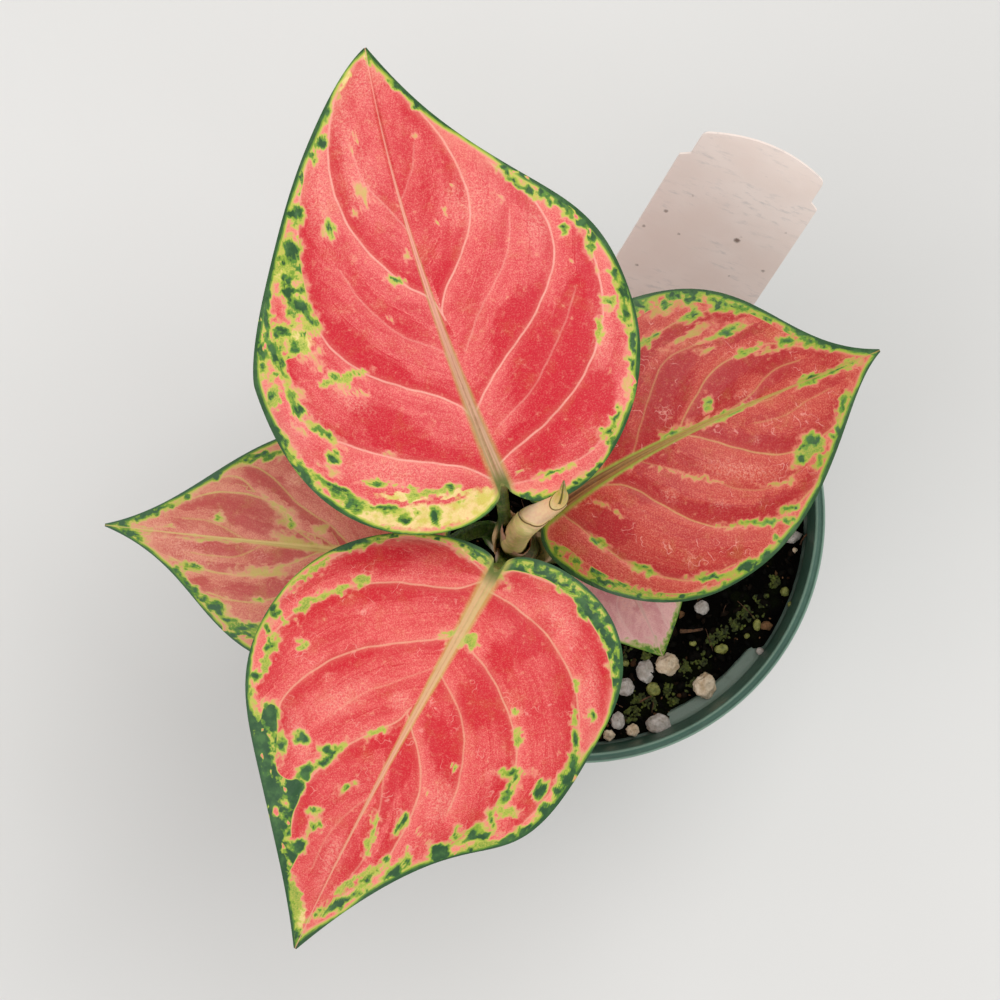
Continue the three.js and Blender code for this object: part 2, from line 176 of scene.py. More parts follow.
@dataclass(frozen=True)
class PhotoView:
    """The camera straight above the plant, and where the pixels of its picture fall.

    Lengths are millimetres. The picture is `pixels` wide and spans `width` at the pot's rim.
    """

    x: float = -17.2  # the camera's place over the pot
    y: float = 3.6
    height: float = 885.0  # the camera's height above the bench
    rim: float = 85.0  # the height of the pot's rim
    width: float = 218.7
    pixels: int = 1000
    sensor: float = 36.0

    def pixel_size(self, z: Any) -> Any:
        """Millimetres that one pixel covers at a height."""
        return self.width / self.pixels * (self.height - z) / (self.height - self.rim)

    def pixels_of(self, points: np.ndarray) -> np.ndarray:
        """Columns and rows of the picture where points in space show.

        Args:
            points: one row of three numbers for each.

        Returns:
            One row of two numbers for each point.
        """
        size = self.pixel_size(points[:, 2])
        column = self.pixels / 2 + (points[:, 0] - self.x) / size
        row = self.pixels / 2 - (points[:, 1] - self.y) / size
        return np.stack([column, row], axis=1)

    def place(self, pixel: Pixel, z: float) -> Vector:
        """The point at height z that shows at a pixel.

        Args:
            pixel: column and row.
            z: height in millimetres.

        Returns:
            The point.
        """
        size = self.pixel_size(z)
        x = self.x + (pixel[0] - self.pixels / 2) * size
        y = self.y - (pixel[1] - self.pixels / 2) * size
        return Vector((x, y, z))

    def make_camera(self) -> None:
        """Adds the camera and makes it the scene's."""
        data = bpy.data.cameras.new("camera")
        data.sensor_width = self.sensor
        data.lens = self.sensor * (self.height - self.rim) / self.width
        camera = into_scene("camera", data)
        camera.location = (self.x * METRES, self.y * METRES, self.height * METRES)
        bpy.context.scene.camera = camera


VIEW = PhotoView()


# ---------------------------------------------------------------- shader tools


class Shade:
    """A number in a material, which takes part in Python arithmetic by adding Math nodes."""

    def __init__(self, wiring: "Wiring", socket: bpy.types.NodeSocket) -> None:
        """Wraps the output socket of a node."""
        self.wiring = wiring
        self.socket = socket

    def math(self, operation: str, *others: Any, swapped: bool = False) -> "Shade":
        """A Math node on this value and others.

        Args:
            operation: the Math node's operation.
            others: numbers or values.
            swapped: whether this value is the second operand.

        Returns:
            The node's result.
        """
        operands = [self, *others]
        if swapped:
            operands.reverse()
        return self.wiring.value("ShaderNodeMath", {"operation": operation}, dict(enumerate(operands)))

    def __add__(self, other: Any) -> "Shade":
        """Sum."""
        return self.math("ADD", other)

    def __radd__(self, other: Any) -> "Shade":
        """Sum with a number on the left."""
        return self.math("ADD", other)

    def __sub__(self, other: Any) -> "Shade":
        """Difference."""
        return self.math("SUBTRACT", other)

    def __rsub__(self, other: Any) -> "Shade":
        """Difference from a number on the left."""
        return self.math("SUBTRACT", other, swapped=True)

    def __mul__(self, other: Any) -> "Shade":
        """Product."""
        return self.math("MULTIPLY", other)

    def __rmul__(self, other: Any) -> "Shade":
        """Product with a number on the left."""
        return self.math("MULTIPLY", other)

    def __abs__(self) -> "Shade":
        """Size without the sign."""
        return self.math("ABSOLUTE")

    def least(self, other: Any) -> "Shade":
        """The smaller of two values."""
        return self.math("MINIMUM", other)

    def most(self, other: Any) -> "Shade":
        """The larger of two values."""
        return self.math("MAXIMUM", other)

    def edge(self, low: float, high: float) -> "Shade":
        """Smooth step from 0 at low to 1 at high; low may be the larger number.

        Args:
            low: where the step starts.
            high: where it ends.

        Returns:
            The step's value.
        """
        if low > high:
            return 1 - self.edge(high, low)
        settings = {"interpolation_type": "SMOOTHSTEP"}
        ends = {"Value": self, "From Min": low, "From Max": high}
        return self.wiring.value("ShaderNodeMapRange", settings, ends)


def linear(colour: Colour) -> tuple[float, float, float, float]:
    """A display colour of 0 to 255 as the linear colour that a shader takes.

    Args:
        colour: red, green and blue.

    Returns:
        Red, green, blue and an alpha of 1.
    """
    parts = [c / 255 for c in colour]
    curve = [c / 12.92 if c <= 0.04045 else ((c + 0.055) / 1.055) ** 2.4 for c in parts]
    return (*curve, 1.0)


class Wiring:
    """Builds one material's nodes."""

    def __init__(self, name: str) -> None:
        """Starts a material with nothing but its output.

        Args:
            name: the material's name.
        """
        self.material = bpy.data.materials.new(name)
        self.material.use_nodes = True
        self.tree = self.material.node_tree
        self.tree.nodes.clear()
        self.output = self.tree.nodes.new("ShaderNodeOutputMaterial")

    def node(self, kind: str, settings: dict[str, Any], inputs: dict[Any, Any]) -> bpy.types.Node:
        """Adds a node: its settings first, then its inputs.

        Args:
            kind: the node's type.
            settings: properties by name; "stops" holds a colour ramp's (place, colour) pairs.
            inputs: numbers, colours, values or sockets by the socket's name or number.

        Returns:
            The node.
        """
        made = self.tree.nodes.new(kind)
        for name, setting in settings.items():
            if name == "stops":
                self._set_stops(made.color_ramp, setting)
            else:
                setattr(made, name, setting)
        for key, value in inputs.items():
            socket = made.inputs[key]
            if isinstance(value, Shade):
                value = value.socket
            if isinstance(value, bpy.types.NodeSocket):
                self.tree.links.new(value, socket)
            else:
                socket.default_value = value
        return made

    @staticmethod
    def _set_stops(ramp: bpy.types.ColorRamp, stops: Sequence[tuple[float, Colour]]) -> None:
        """Sets a colour ramp's stops.

        Args:
            ramp: the ramp, which has two stops.
            stops: (place, colour) pairs.
        """
        for _ in stops[2:]:
            ramp.elements.new(0.5)
        for element, (place, colour) in zip(ramp.elements, stops):
            element.position = place
            element.color = linear(colour)

    def value(self, kind: str, settings: dict[str, Any], inputs: dict[Any, Any], output: Any = 0) -> Shade:
        """Adds a node and wraps one of its outputs."""
        return Shade(self, self.node(kind, settings, inputs).outputs[output])

    def attribute(self, name: str) -> Shade:
        """A number that the mesh carries at each vertex."""
        return self.value("ShaderNodeAttribute", {"attribute_name": name}, {}, "Fac")

    def place(self, stretch: Point = (1.0, 1.0, 1.0)) -> bpy.types.NodeSocket:
        """Object coordinates in millimetres, stretched along the axes.

        Args:
            stretch: factors for x, y and z.

        Returns:
            The coordinates' socket.
        """
        source = self.node("ShaderNodeTexCoord", {}, {}).outputs["Object"]
        scale = tuple(s / METRES for s in stretch)
        return self.node("ShaderNodeMapping", {}, {"Vector": source, "Scale": scale}).outputs[0]

    def along(self, layer: str, stretch: Point) -> bpy.types.NodeSocket:
        """The piece's own UV map, in millimetres, stretched along its axes."""
        source = self.node("ShaderNodeUVMap", {"uv_map": layer}, {}).outputs[0]
        return self.node("ShaderNodeMapping", {}, {"Vector": source, "Scale": stretch}).outputs[0]

    def noise(self, vector: Any, scale: float, detail: float = 2.0, rough: float = 0.5) -> Shade:
        """Soft noise between 0 and 1, `scale` cycles to the millimetre."""
        inputs = {"Vector": vector, "Scale": scale, "Detail": detail, "Roughness": rough}
        return self.value("ShaderNodeTexNoise", {}, inputs, "Fac")

    def mix(self, factor: Any, a: Any, b: Any) -> bpy.types.NodeSocket:
        """Mixes two colours, each a display colour or a socket.

        Args:
            factor: a number or a value from 0 to 1.
            a: the colour at 0.
            b: the colour at 1.

        Returns:
            The mixed colour's socket.
        """
        first, second = (linear(c) if isinstance(c, tuple) else c for c in (a, b))
        # A Mix node's colours are its inputs 6 and 7, and its output 2.
        return self.node("ShaderNodeMix", {"data_type": "RGBA"}, {0: factor, 6: first, 7: second}).outputs[2]

    def ramp(self, factor: Shade, stops: Sequence[tuple[float, Colour]]) -> bpy.types.NodeSocket:
        """A colour picked from stops by a value from 0 to 1."""
        return self.node("ShaderNodeValToRGB", {"stops": stops}, {"Fac": factor}).outputs["Color"]

    def bump(self, height: Shade, depth: float) -> bpy.types.NodeSocket:
        """A normal bent by a height map `depth` millimetres deep."""
        inputs = {"Height": height, "Distance": depth * METRES, "Strength": 1.0}
        return self.node("ShaderNodeBump", {}, inputs).outputs["Normal"]

    def finish(self, colour: Any, roughness: Any, normal: Any = None, **fixed: float) -> bpy.types.Material:
        """Closes the material with its surface.

        Args:
            colour: the base colour's socket.
            roughness: a number or a value.
            normal: a bump's normal, if any.
            fixed: the surface's other sockets, by name with _ for spaces, as plain numbers.

        Returns:
            The material.
        """
        inputs: dict[Any, Any] = {"Base Color": colour, "Roughness": roughness}
        if normal is not None:
            inputs["Normal"] = normal
        inputs.update({name.replace("_", " "): number for name, number in fixed.items()})
        surface = self.node("ShaderNodeBsdfPrincipled", {}, inputs)
        self.tree.links.new(surface.outputs[0], self.output.inputs["Surface"])
        return self.material


# ---------------------------------------------------------------- finished pieces


def as_mesh(name: str, shape: bmesh.types.BMesh) -> bpy.types.Mesh:
    """Turns a bmesh into a mesh and uses it up.

    Args:
        name: the mesh's name.
        shape: the bmesh, which is freed.

    Returns:
        The mesh.
    """
    mesh = bpy.data.meshes.new(name)
    shape.to_mesh(mesh)
    shape.free()
    return mesh


def into_scene(name: str, data: bpy.types.ID) -> bpy.types.Object:
    """Puts a mesh, a lamp or a camera into the scene.

    Args:
        name: the object's name.
        data: what it shows.

    Returns:
        The object.
    """
    made = bpy.data.objects.new(name, data)
    bpy.context.scene.collection.objects.link(made)
    return made


def set_layer(shape: bmesh.types.BMesh, name: str, rule: Callable[[bmesh.types.BMVert], float]) -> None:
    """Stores a number at each vertex of a shape.

    Args:
        shape: takes the numbers.
        name: the layer's name.
        rule: gives a vertex its number.
    """
    layer = shape.verts.layers.float.new(name)
    for vert in shape.verts:
        vert[layer] = rule(vert)


@dataclass
class Workshop:
    """Turns worked meshes into pieces of the object and keeps count of them."""

    made: list[str] = field(default_factory=list)

    def piece(
        self,
        name: str,
        mesh: bpy.types.Mesh | bmesh.types.BMesh,
        slot: str,
        nodes: Sequence[str],
        materials: Sequence[bpy.types.Material],
    ) -> bpy.types.Object:
        """Scales a mesh to metres, dresses it and fixes it to the object.

        Args:
            name: the piece's name.
            mesh: its shape in millimetres; a bmesh is used up.
            slot: the record's material slot; not used.
            nodes: the model's nodes that it stands for.
            materials: its materials, in the order of its faces' indexes.

        Returns:
            The piece.
        """
        if isinstance(mesh, bmesh.types.BMesh):
            mesh = as_mesh(name, mesh)
        mesh.name = name
        mesh.transform(Matrix.Scale(METRES, 4))
        mesh.shade_smooth()
        for material in materials:
            mesh.materials.append(material)
        made = into_scene(name, mesh)
        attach(made, BODY)
        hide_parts(*nodes)
        self.made.append(name)
        LOG.info("%s: %d faces", name, len(mesh.polygons))
        return made


def spun(profile: Sequence[Pixel], segments: int) -> bmesh.types.BMesh:
    """Turns a closed profile about the pot's axis.

    Args:
        profile: [radius, height] pairs, from the axis round to the axis.
        segments: steps in the full turn.

    Returns:
        The closed shape.
    """
    shape = bmesh.new()
    corners = [shape.verts.new((radius, 0, height)) for radius, height in profile]
    edges = [shape.edges.new(pair) for pair in zip(corners, corners[1:])]
    bmesh.ops.spin(
        shape,
        geom=corners + edges,
        cent=(0, 0, 0),
        axis=(0, 0, 1),
        angle=TURN,
        steps=segments,
        use_merge=True,
        use_duplicate=False,
    )
    bmesh.ops.remove_doubles(shape, verts=shape.verts, dist=WELD)
    bmesh.ops.recalc_face_normals(shape, faces=shape.faces)
    return shape


def swept(
    path: np.ndarray,
    facing: Vector,
    sides: int,
    section: Callable[[float, float], Pixel],
) -> bmesh.types.BMesh:
    """A closed bar along a path.

    Args:
        path: points in space, evenly spaced.
        facing: the direction that the section's second number points to.
        sides: corners of the section.
        section: gives (sideways, facing) offsets at a share of the length and of the turn.

    Returns:
        The bar; its vertices carry their shares of the length and of the turn.
    """
    shape = bmesh.new()
    steps = len(path) - 1
    bmesh.ops.create_grid(shape, x_segments=sides, y_segments=steps, size=1.0)
    tangents = np.gradient(path, axis=0)
    along_layer = shape.verts.layers.float.new("along")
    turn_layer = shape.verts.layers.float.new("turn")
    for vert in shape.verts:
        turn, along = (vert.co.x + 1) / 2, (vert.co.y + 1) / 2
        vert[along_layer], vert[turn_layer] = along, turn % 1.0
        index = round(along * steps)
        tangent = Vector(tangents[index]).normalized()
        side = tangent.cross(facing).normalized()
        face = side.cross(tangent).normalized()
        wide, deep = section(along, turn % 1.0)
        vert.co = Vector(path[index]) + side * wide + face * deep
    bmesh.ops.remove_doubles(shape, verts=shape.verts, dist=WELD)
    rims = [edge for edge in shape.edges if edge.is_boundary]
    bmesh.ops.holes_fill(shape, edges=rims, sides=0)
    bmesh.ops.recalc_face_normals(shape, faces=shape.faces)
    return shape


def on_circle(radius: float, turn: float) -> Pixel:
    """A round section's sideways and facing offsets at a share of the turn."""
    return radius * math.sin(TURN * turn), radius * math.cos(TURN * turn)


def narrowing(radius: float, along: float, turn: float) -> Pixel:
    """The section of a round bar that narrows to half its width."""
    return on_circle(radius * (1 - 0.5 * along), turn)


# ---------------------------------------------------------------- leaf blades


class Mark(Enum):
    """What a mark on a blade is. The value names the mesh attribute it feeds."""

    GREEN = "green"  # dark green, edged with lime
    FRESH = "fresh"  # lime green that never darkens
    THIN = "thin"  # a stretch where the dark margin line is thin
    GAP = "gap"  # a red or peach hole in the green
    LIME = "lime"  # soft lime
    CREAM = "cream"  # pale yellow
    PALE = "pale"  # pale pink fleck
    DEEP = "deep"  # deep crimson


ARC_STEPS = 200  # samples of each of an outline's two arcs
OUTLINE_STEPS = 800  # evenly spaced samples of the whole outline
VEIN_STEPS = 36  # samples of a side vein
BOUND_STEPS = 60  # samples of a marginal band's inner boundary
FAR = 60.0  # millimetres: further than any vein reaches
OUTSIDE = -3.0  # millimetres: as far outside a mark as is told apart
BOUND_NEAR = 9.0  # millimetres: further from its boundary a marginal band ends
# Kinds of mark that are stored in millimetres, because their edges are sharp.
SHARP_MARKS = (Mark.GREEN, Mark.FRESH)

# Centre column and row, length, width and angle (anticlockwise from the right), all in the picture.
Spot = tuple[float, float, float, float, float]
# How much of a marginal band is green, and its inner boundary: the margin is on the line's left.
Bound = tuple[float, Sequence[Pixel]]


@dataclass(frozen=True)
class Side:
    """One side of a blade's outline, in blade millimetres, as two Bezier arcs.

    sinus - [back, out] - [run, half] - [widest, half], then [shoulder, half] - [point, slope] - tip.
    """

    back: float
    out: float
    run: float
    widest: float
    half: float
    shoulder: float
    point: float
    slope: float

    def outline(self, length: float, sign: int) -> np.ndarray:
        """The outline from the sinus to the tip, evenly spaced.

        Args:
            length: the blade's length from its junction.
            sign: 1 for the left side, -1 for the right one.

        Returns:
            One row for each place.
        """
        sinus, tip = (-1.5, 1), (length, 0.3)
        widest = (self.widest, self.half)
        first = [sinus, (self.back, self.out), (self.run, self.half), widest]
        second = [widest, (self.shoulder, self.half), (self.point, self.slope), tip]
        share = np.linspace(0, 1, ARC_STEPS)
        line = np.concatenate([bezier(first, share), bezier(second, share)[1:]])
        return even_line(line * (1, sign), OUTLINE_STEPS)


class LeafNoise:
    """Noises and measures that several layers of a blade's upper face share."""

    def __init__(self, w: Wiring) -> None:
        """Adds them to a material.

        Args:
            w: the material.
        """
        self.place = w.place()
        self.broad = w.noise(self.place, 0.075, 2)
        self.patchy = w.noise(self.place, 0.33, 3, 0.6)
        self.wobble = w.noise(self.place, 0.75, 4, 0.6) - 0.5
        self.fine = w.noise(self.place, 2.1, 2, 0.7)
        self.grain = w.noise(self.place, 3.3, 2, 0.85)
        self.streaks = w.noise(w.along("flow", (1.0, 0.1, 1)), 1.0, 3)
        self.mottle = w.noise(w.along("flow", (0.34, 0.24, 1)), 1.0, 3, 0.55)
        self.margin = w.attribute("margin")
        self.strength = w.attribute("vein_strength")


@dataclass(frozen=True)
class BladeFinish:
    """Colours of a blade's two faces, as shown in soft light."""

    light: Colour
    deep: Colour
    peach: Colour
    lime: Colour
    green: Colour
    vein: Colour
    rib_foot: Colour
    rib_tip: Colour
    rib_edge: Colour
    rib_thread: Colour
    under: Colour
    roughness: float
    yellow: float = 0.0  # how much lime is washed over the whole blade
    scars: float = 0.0  # how strong the fine pale squiggles are
    rib_edges: float = 0.2  # how strong the lime lines beside the midrib are
    fleck: Colour = (240, 178, 156)
    scar: Colour = (240, 168, 154)
    custard: tuple[Colour, Colour] = ((240, 220, 146), (206, 208, 92))  # cream, yellower to greener
    fresh: tuple[Colour, Colour] = ((88, 134, 40), (140, 168, 48))  # lime green, darker to lighter
    dusk: Colour = (66, 108, 54)  # paler patches in the dark green
    rib_root: Colour = (96, 112, 50)
    under_fleck: Colour = (214, 170, 150)
    under_lime: Colour = (150, 166, 104)
    under_green: Colour = (98, 122, 84)
    under_vein: Colour = (206, 176, 140)
    under_rib: Colour = (176, 172, 118)

    def _flesh(self, w: Wiring, n: LeafNoise) -> bpy.types.NodeSocket:
        """The red of the blade: crimson fields, peach grain, pale flecks and fine scars.

        Args:
            w: the material.
            n: its shared noises.

        Returns:
            The colour.
        """
        tipward = w.attribute("vein_tip")
        depth = n.broad * 0.7 + n.streaks * 0.8 + n.patchy * 0.4 + w.attribute("deep") * 0.95 + 0.2
        depth = depth - w.attribute("pale") * 0.3
        # Darker on the side of a vein that faces the tip, lighter on the other.
        beside = n.strength * (n.broad * 0.9 + 0.1)
        depth = depth + tipward.edge(0.0, 0.6) * tipward.edge(5.0, 0.4) * beside * 0.75
        depth = depth - tipward.edge(0.0, -0.6) * tipward.edge(-3.6, -0.5) * beside * 0.45
        depth = depth - n.margin.edge(8, 1) * 0.16
        crimson = depth.edge(0.68, 1.66)
        red = w.mix(crimson, self.light, self.deep)
        wash = w.noise(n.place, 0.2, 4, 0.65).edge(0.5, 0.72) * 0.5 + self.yellow
        red = w.mix(wash.least(1.0) * (0.16 + self.yellow), red, self.lime)
        red = w.mix(n.grain.edge(0.49, 0.66) * (0.62 - crimson * 0.4), red, self.peach)
        red = w.mix(n.grain.edge(0.52, 0.36) * 0.5, red, self.deep)
        pale = w.attribute("pale") * n.fine.edge(0.42, 0.66)
        red = w.mix(pale * 0.4, red, self.fleck)
        scar = abs(w.noise(n.place, 0.42, 1) - 0.5).edge(0.02, 0.006)
        scar = scar * w.noise(n.place, 0.24, 1).edge(0.58, 0.66) * self.scars
        return w.mix(scar, red, self.scar)

    def _veins(self, w: Wiring, n: LeafNoise, red: bpy.types.NodeSocket) -> bpy.types.NodeSocket:
        """Adds the side veins, each a thin pale crease in a faint halo.

        Args:
            w: the material.
            n: its shared noises.
            red: the colour below.

        Returns:
            The new colour.
        """
        gap = w.attribute("vein_gap")
        red = w.mix(gap.edge(1.5, 0.1) * n.strength * 0.16, red, self.peach)
        crease = abs(w.attribute("vein_side")).edge(0.32, 0.05) * gap.edge(1.6, 0.9)
        crease = crease * n.strength * (0.1 + n.patchy * 0.9 + n.grain * 0.5)
        return w.mix(crease.least(1.0) * 0.8, red, self.vein)

    def _ground(self, w: Wiring, n: LeafNoise) -> Shade:
        """How far inside the green a place lies, in about millimetres: line, band, bounds and marks.

        Args:
            w: the material.
            n: its shared noises.

        Returns:
            The distance, positive inside.
        """
        band = (w.attribute("band") - n.margin).least((n.mottle - 0.5) * 8 - 0.75)
        line = w.attribute("line") * (1 - w.attribute("thin") * 0.75) - n.margin + n.wobble * 0.3
        marks = (w.attribute("green") + n.wobble * 1.5).least(1.5)
        fresh_marks = (w.attribute("fresh") + n.wobble * 2.2 - 0.25).least(n.grain * 0.5 - 0.34)
        blotch = w.noise(n.place, 0.42, 3, 0.5) - 1 + w.attribute("cover")
        outer = (blotch * 4.5).least(w.attribute("outer") * 3.5 + n.wobble * 0.5)
        # Where a boundary is drawn, the mottled band keeps outside it.
        band = band.least(outer + 9 * w.attribute("outer").edge(-2.5, -2.9))
        ground = marks.most(fresh_marks).most(band).most(outer).most(line)
        return ground.least(1.2 - w.attribute("gap") * 2.2)

    def _green(self, w: Wiring, n: LeafNoise, red: bpy.types.NodeSocket) -> bpy.types.NodeSocket:
        """Adds lime and cream, then the green from its lime edge to its dark middle.

        Args:
            w: the material.
            n: its shared noises.
            red: the colour below.

        Returns:
            The new colour.
        """
        ground = self._ground(w, n)
        soft = w.attribute("lime") + n.wobble * 1.6
        near = (w.attribute("band") * 1.3 - n.margin).edge(-1.4, 1.2) * (0.4 + n.wobble * 1.2)
        colour = w.mix((soft.edge(0.05, 0.7).most(near) * 0.7).least(1.0).most(0.0), red, self.peach)
        limy = soft.edge(0.42, 1.0) * (0.2 + n.grain * 1.0) * (0.5 + n.mottle * 0.7)
        colour = w.mix(limy.least(0.85), colour, self.lime)
        colour = w.mix(ground.edge(-1.05, -0.45) * 0.6, colour, self.peach)
        cream = (w.attribute("cream") + n.wobble * 0.9).edge(0.1, 0.6) * (0.55 + n.grain * 0.5)
        custard = w.mix(n.patchy.edge(0.44, 0.66), *self.custard)
        colour = w.mix(cream.least(0.94), colour, custard)
        colour = w.mix(ground.edge(-0.62, -0.22) * (0.6 + n.grain * 0.6).least(1.0), colour, self.lime)
        colour = w.mix(ground.edge(-0.2, 0.05), colour, w.mix(n.mottle.edge(0.42, 0.66), *self.fresh))
        dusk = w.mix(n.patchy.edge(0.42, 0.7), self.green, self.dusk)
        dusk = w.mix(n.margin.edge(0.9, 0.2) * 0.6, dusk, self.green)
        return w.mix(ground.edge(0.06, 0.42), colour, dusk)

    def _midrib(self, w: Wiring, n: LeafNoise, colour: bpy.types.NodeSocket) -> bpy.types.NodeSocket:
        """Adds the midrib: a threaded strip with lime beside it, which fades towards the tip.

        Args:
            w: the material.
            n: its shared noises.
            colour: the colour below.

        Returns:
            The new colour.
        """
        rib, reach = abs(w.attribute("rib")), w.attribute("reach")
        strip = w.mix(reach.edge(0.0, 0.6), self.rib_foot, self.rib_tip)
        thread = w.noise(w.along("rib_flow", (2.6, 0.05, 1)), 1.0, 2)
        strip = w.mix(thread.edge(0.35, 0.7) * 0.5, strip, self.vein)
        fades = reach.edge(1.0, 0.25)
        strip = w.mix(rib.edge(0.25, 0.05) * fades * 0.3, strip, self.rib_thread)
        strip = w.mix(reach.edge(0.05, 0.0), strip, self.rib_root)
        beside = rib.edge(2.0, 1.0) * (self.rib_edges + n.patchy * 0.8) * fades
        colour = w.mix(beside, colour, self.rib_edge)
        return w.mix(rib.edge(1.1, 0.75) * (0.65 + fades * 0.3), colour, strip)

    def upper(self, name: str) -> bpy.types.Material:
        """The material of the blade's upper face and margin.

        Args:
            name: the material's name.

        Returns:
            The material.
        """
        w = Wiring(name)
        n = LeafNoise(w)
        colour = self._veins(w, n, self._flesh(w, n))
        colour = self._midrib(w, n, self._green(w, n, colour))
        relief = n.fine * 0.5 + w.noise(n.place, 0.9, 3) * 1.1 + n.streaks * 0.9
        rough = n.fine * 0.12 + (self.roughness - 0.06)
        return w.finish(colour, rough, w.bump(relief, 0.11), Specular_IOR_Level=0.34)

    def lower(self, name: str) -> bpy.types.Material:
        """The material of the blade's underside: duller, with the pattern showing through.

        Args:
            name: the material's name.

        Returns:
            The material.
        """
        w = Wiring(name)
        place = w.place()
        patchy = w.noise(place, 0.3, 3)
        fine = w.noise(place, 1.8, 2)
        base = w.mix(patchy.edge(0.35, 0.7), self.under, self.light)
        base = w.mix(fine.edge(0.45, 0.75) * 0.3, base, self.under_fleck)
        ground = (w.attribute("line") * 1.3 - w.attribute("margin")).most(w.attribute("green") - 0.2)
        ground = ground.most(w.attribute("outer").least(0.1))
        ground = ground + (w.noise(place, 0.5, 3) - 0.5) * 1.2
        base = w.mix(ground.edge(-0.9, -0.1), base, self.under_lime)
        base = w.mix(ground.edge(-0.1, 0.5), base, self.under_green)
        crease = w.attribute("vein_gap").edge(0.7, 0.2) * w.attribute("vein_strength")
        base = w.mix(crease * 0.6, base, self.under_vein)
        base = w.mix(abs(w.attribute("rib")).edge(1.3, 0.8), base, self.under_rib)
        relief = fine + w.noise(place, 0.7, 3) * 1.5
        return w.finish(base, 0.55 + fine * 0.1, w.bump(relief, 0.12), Specular_IOR_Level=0.35)


YOUNG = BladeFinish(
    light=(227, 98, 98),
    deep=(197, 14, 38),
    peach=(236, 154, 132),
    lime=(180, 190, 70),
    green=(34, 76, 34),
    vein=(240, 178, 160),
    rib_foot=(160, 140, 92),
    rib_tip=(238, 162, 146),
    rib_edge=(164, 158, 84),
    rib_thread=(160, 96, 76),
    under=(186, 112, 100),
    roughness=0.5,
)
SECOND = BladeFinish(
    light=(229, 96, 94),
    deep=(199, 18, 36),
    peach=(236, 152, 128),
    lime=(174, 188, 70),
    green=(38, 78, 42),
    vein=(228, 164, 134),
    rib_foot=(206, 184, 124),
    rib_tip=(226, 164, 136),
    rib_edge=(190, 180, 96),
    rib_thread=(190, 140, 100),
    under=(186, 108, 98),
    roughness=0.5,
    scars=0.4,
)
MATURE = BladeFinish(
    light=(197, 74, 60),
    deep=(166, 2, 22),
    peach=(220, 130, 104),
    lime=(156, 170, 56),
    green=(38, 76, 38),
    vein=(198, 150, 92),
    rib_foot=(104, 50, 28),
    rib_tip=(176, 146, 70),
    rib_edge=(146, 160, 56),
    rib_thread=(92, 28, 22),
    under=(160, 92, 82),
    roughness=0.46,
    yellow=0.06,
    scars=0.45,
    rib_edges=0.6,
)
SALMON = BladeFinish(
    light=(214, 128, 108),
    deep=(184, 66, 68),
    peach=(220, 156, 124),
    lime=(180, 184, 78),
    green=(52, 90, 58),
    vein=(202, 186, 104),
    rib_foot=(196, 178, 100),
    rib_tip=(210, 186, 116),
    rib_edge=(192, 180, 92),
    rib_thread=(190, 150, 96),
    under=(170, 116, 96),
    roughness=0.5,
    yellow=0.14,
)
FADED = BladeFinish(
    light=(240, 188, 182),
    deep=(206, 134, 136),
    peach=(230, 186, 174),
    lime=(170, 176, 104),
    green=(70, 100, 60),
    vein=(232, 196, 186),
    rib_foot=(210, 170, 150),
    rib_tip=(214, 166, 158),
    rib_edge=(208, 178, 150),
    rib_thread=(190, 120, 120),
    under=(180, 130, 122),
    roughness=0.5,
)


